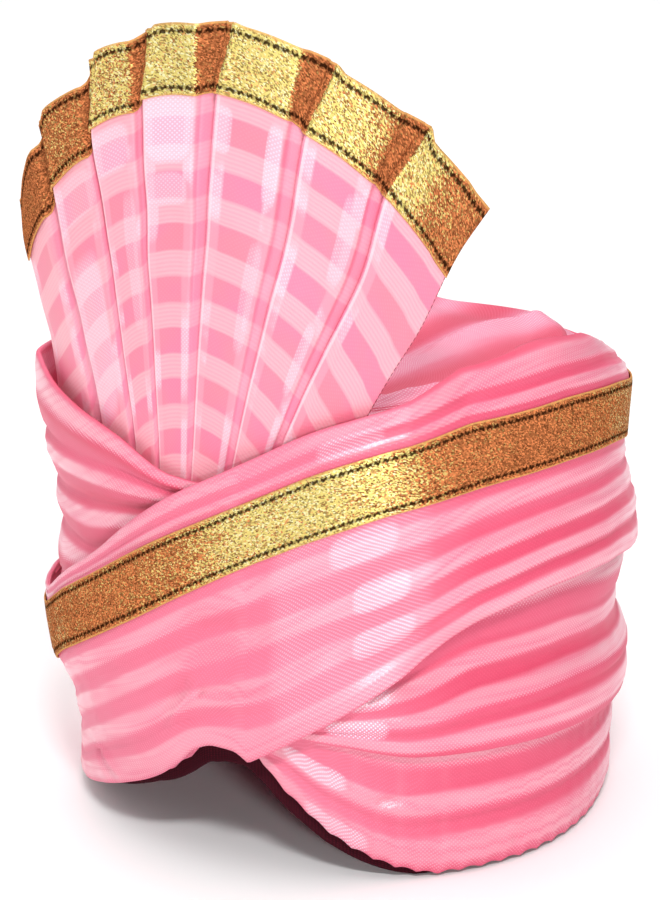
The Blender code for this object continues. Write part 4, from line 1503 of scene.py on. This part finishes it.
def fan_rails(section):
    """The fan's columns from left to right: bearing at foot, bow, bearing and height at the outer edge,
    how far forward it stands, the panel's number plus how far across it the column lies, and how much of
    the fold's roll it takes part in."""
    columns = []
    ends = [panel[:2] for panel in FAN_PANELS] + [(FAN_END_AT_FOOT, FAN_END_BOW)]
    for k, (foot, bow, left, left_top, right, right_top) in enumerate(FAN_PANELS):
        width = ends[k + 1][0] - foot
        more_bow = ends[k + 1][1] - bow
        last = k + 1 == len(FAN_PANELS)
        shows = 1.0 if last else PANEL_SHOWS
        roll_wide = FOLD_ROLL_WIDE if k else FIRST_FOLD_ROLL_WIDE
        spots = list(section)
        if last:
            spots = [spot for spot in section if spot[0] <= LAST_PANEL_UNTIL] + list(LAST_PANEL_END)
        for across, stand in spots:
            share = across / shows
            arch = FAN_TOP_ARCH * math.sin(math.pi * min(share, 1.0))
            roll = 1.0 - min(across / roll_wide, 1.0) + max(across - PANEL_SHOWS, 0.0) / PANEL_UNDER
            if last and across > LAST_PANEL_UNTIL:
                arch = 0.0
                roll = 0.0
            bearing = left + (right - left) * share
            top = left_top + (right_top - left_top) * share
            if share > 1.0:
                bearing, top = under_next_panel(k, (across - PANEL_SHOWS) / PANEL_UNDER)
            columns.append((
                foot + across * width, bow + across * more_bow, bearing, top + arch, stand, k + across,
                min(roll, 1.0),
            ))
    return np.array(columns)


def fan_points(columns, shares):
    """Points of the fan's outer face: a row for each share of the way up, given for every column."""
    foot, bow, top_bearing, top, stand, _, roll = columns.T
    lean = (top_bearing - foot) / (top - FAN_REF)
    height = FAN_FOOT + (top - FAN_FOOT) * shares
    bowed = np.sin(np.pi * shares * shares) * (1.0 - smoothstep(*FAN_BOW_ENDS, shares))
    rolled = smoothstep(1.0 - FOLD_ROLL_DEPTH * FAN_LACE_DEPTH / (top - FAN_FOOT), 1.0, shares)
    bearing = foot + lean * (height - FAN_REF) + bow * bowed + FOLD_ROLL * roll * rolled
    grown = smoothstep(*FAN_RELIEF_GROWS, shares)
    relief = FAN_RELIEF_FOOT + (FAN_RELIEF_TOP - FAN_RELIEF_FOOT) * grown
    sway = FAN_SWAY * ripples(FAN_SWAY_SEED, bearing, height, *FAN_SWAY_LENGTHS)
    sway = sway * smoothstep(*FAN_SWAY_BEGINS, shares)
    outs = fan_half_width(bearing, height) + relief * (stand - 1.0) * 0.5 + sway
    return place(bearing, height, outs)


def smooth_section(section):
    """A section with more points between those of the table, on a smooth curve through them."""
    section = np.array(section + ((1.0, 1.0),))
    knots = np.arange(len(section))
    fine = np.arange(0, len(section) - 1, 1.0 / FAN_SECTION_STEPS)
    return list(zip(through(knots, section[:, 0], fine), through(knots, section[:, 1], fine)))


def make_fan():
    columns = fan_rails(smooth_section(FAN_SECTION))
    even = np.linspace(0.0, 1.0, FAN_ROWS)
    shares = np.concatenate([[0.0, FAN_HEM_ROW], even[1:-1], [1.0 - FAN_HEM_ROW, 1.0]])
    points = fan_points(columns, shares[:, None] * np.ones(len(columns)))
    finish = fan_material()
    cloth("fan_cloth", points, FAN_CLOTH_THICK, shares, finish, across=columns[:, 5], measured_from_top=True)


def make_fan_lace():
    columns = fan_rails(smooth_section(LACE_SECTION))
    start = 1.0 - FAN_LACE_DEPTH / (columns[:, 3] - FAN_FOOT)
    points = fan_points(columns, start + (FAN_LACE_PAST_EDGE - start) * FAN_LACE_ROWS[:, None])
    points = points + normals_of(points, False) * (FAN_LACE_LIFT + LACE_THICK) * MM
    panel, across = np.divmod(columns[:, 5], 1.0)
    # Painted shade where the lace turns under the next panel, which takes the painted highlight away.
    painted_shade_under_fold = smoothstep(*LACE_TURNS_UNDER, across) * (panel < len(FAN_PANELS) - 1)
    painted_highlight = np.interp(columns[:, 5], *zip(*FAN_LACE_PAINTED_HIGHLIGHT)) * (1.0 - painted_shade_under_fold)
    finish = lace_material("fan_lace_gold", FAN_COPPER)
    cloth("fan_lace_ribbon", points, LACE_THICK, FAN_LACE_ROWS, finish, across=painted_highlight)


def add_fan_foot(envelope):
    """Lets the wraps that come after the fan lie over its foot."""
    bearing = envelope.grid_bearing
    height = envelope.grid_height
    left, right, below = FAN_FOOT_MARGINS
    covered = (bearing > FAN_PANELS[0][0] - left) & (bearing < FAN_END_AT_FOOT + right)
    covered &= height > FAN_FOOT - below
    envelope.add(covered, fan_half_width(bearing, np.minimum(height, FAN_COVERED_TO)))


def build():
    bpy.context.scene.view_settings.view_transform = "Standard"
    make_camera()
    make_lights()
    make_floor()
    envelope = Envelope()
    make_cap()
    make_wrap(
        "lower_wrap", LOWER_WRAP, envelope, LOWER_PLEAT_POINTS, creases=LOWER_CREASES,
        scallop=LOWER_SCALLOP,
    )
    make_wrap("middle_wrap", MIDDLE_WRAP, envelope)
    add_fan_foot(envelope)
    make_wrap("left_wrap", LEFT_WRAP, envelope, lean=LEFT_LEAN)
    front = make_wrap(
        "front_wrap", FRONT_WRAP, envelope, lean=FRONT_LEAN, ends=FRONT_ENDS, flat_fold=LACE_FOLD,
        creases=FRONT_CREASES,
    )
    make_lace_band(front)
    make_fan()
    make_fan_lace()


build()
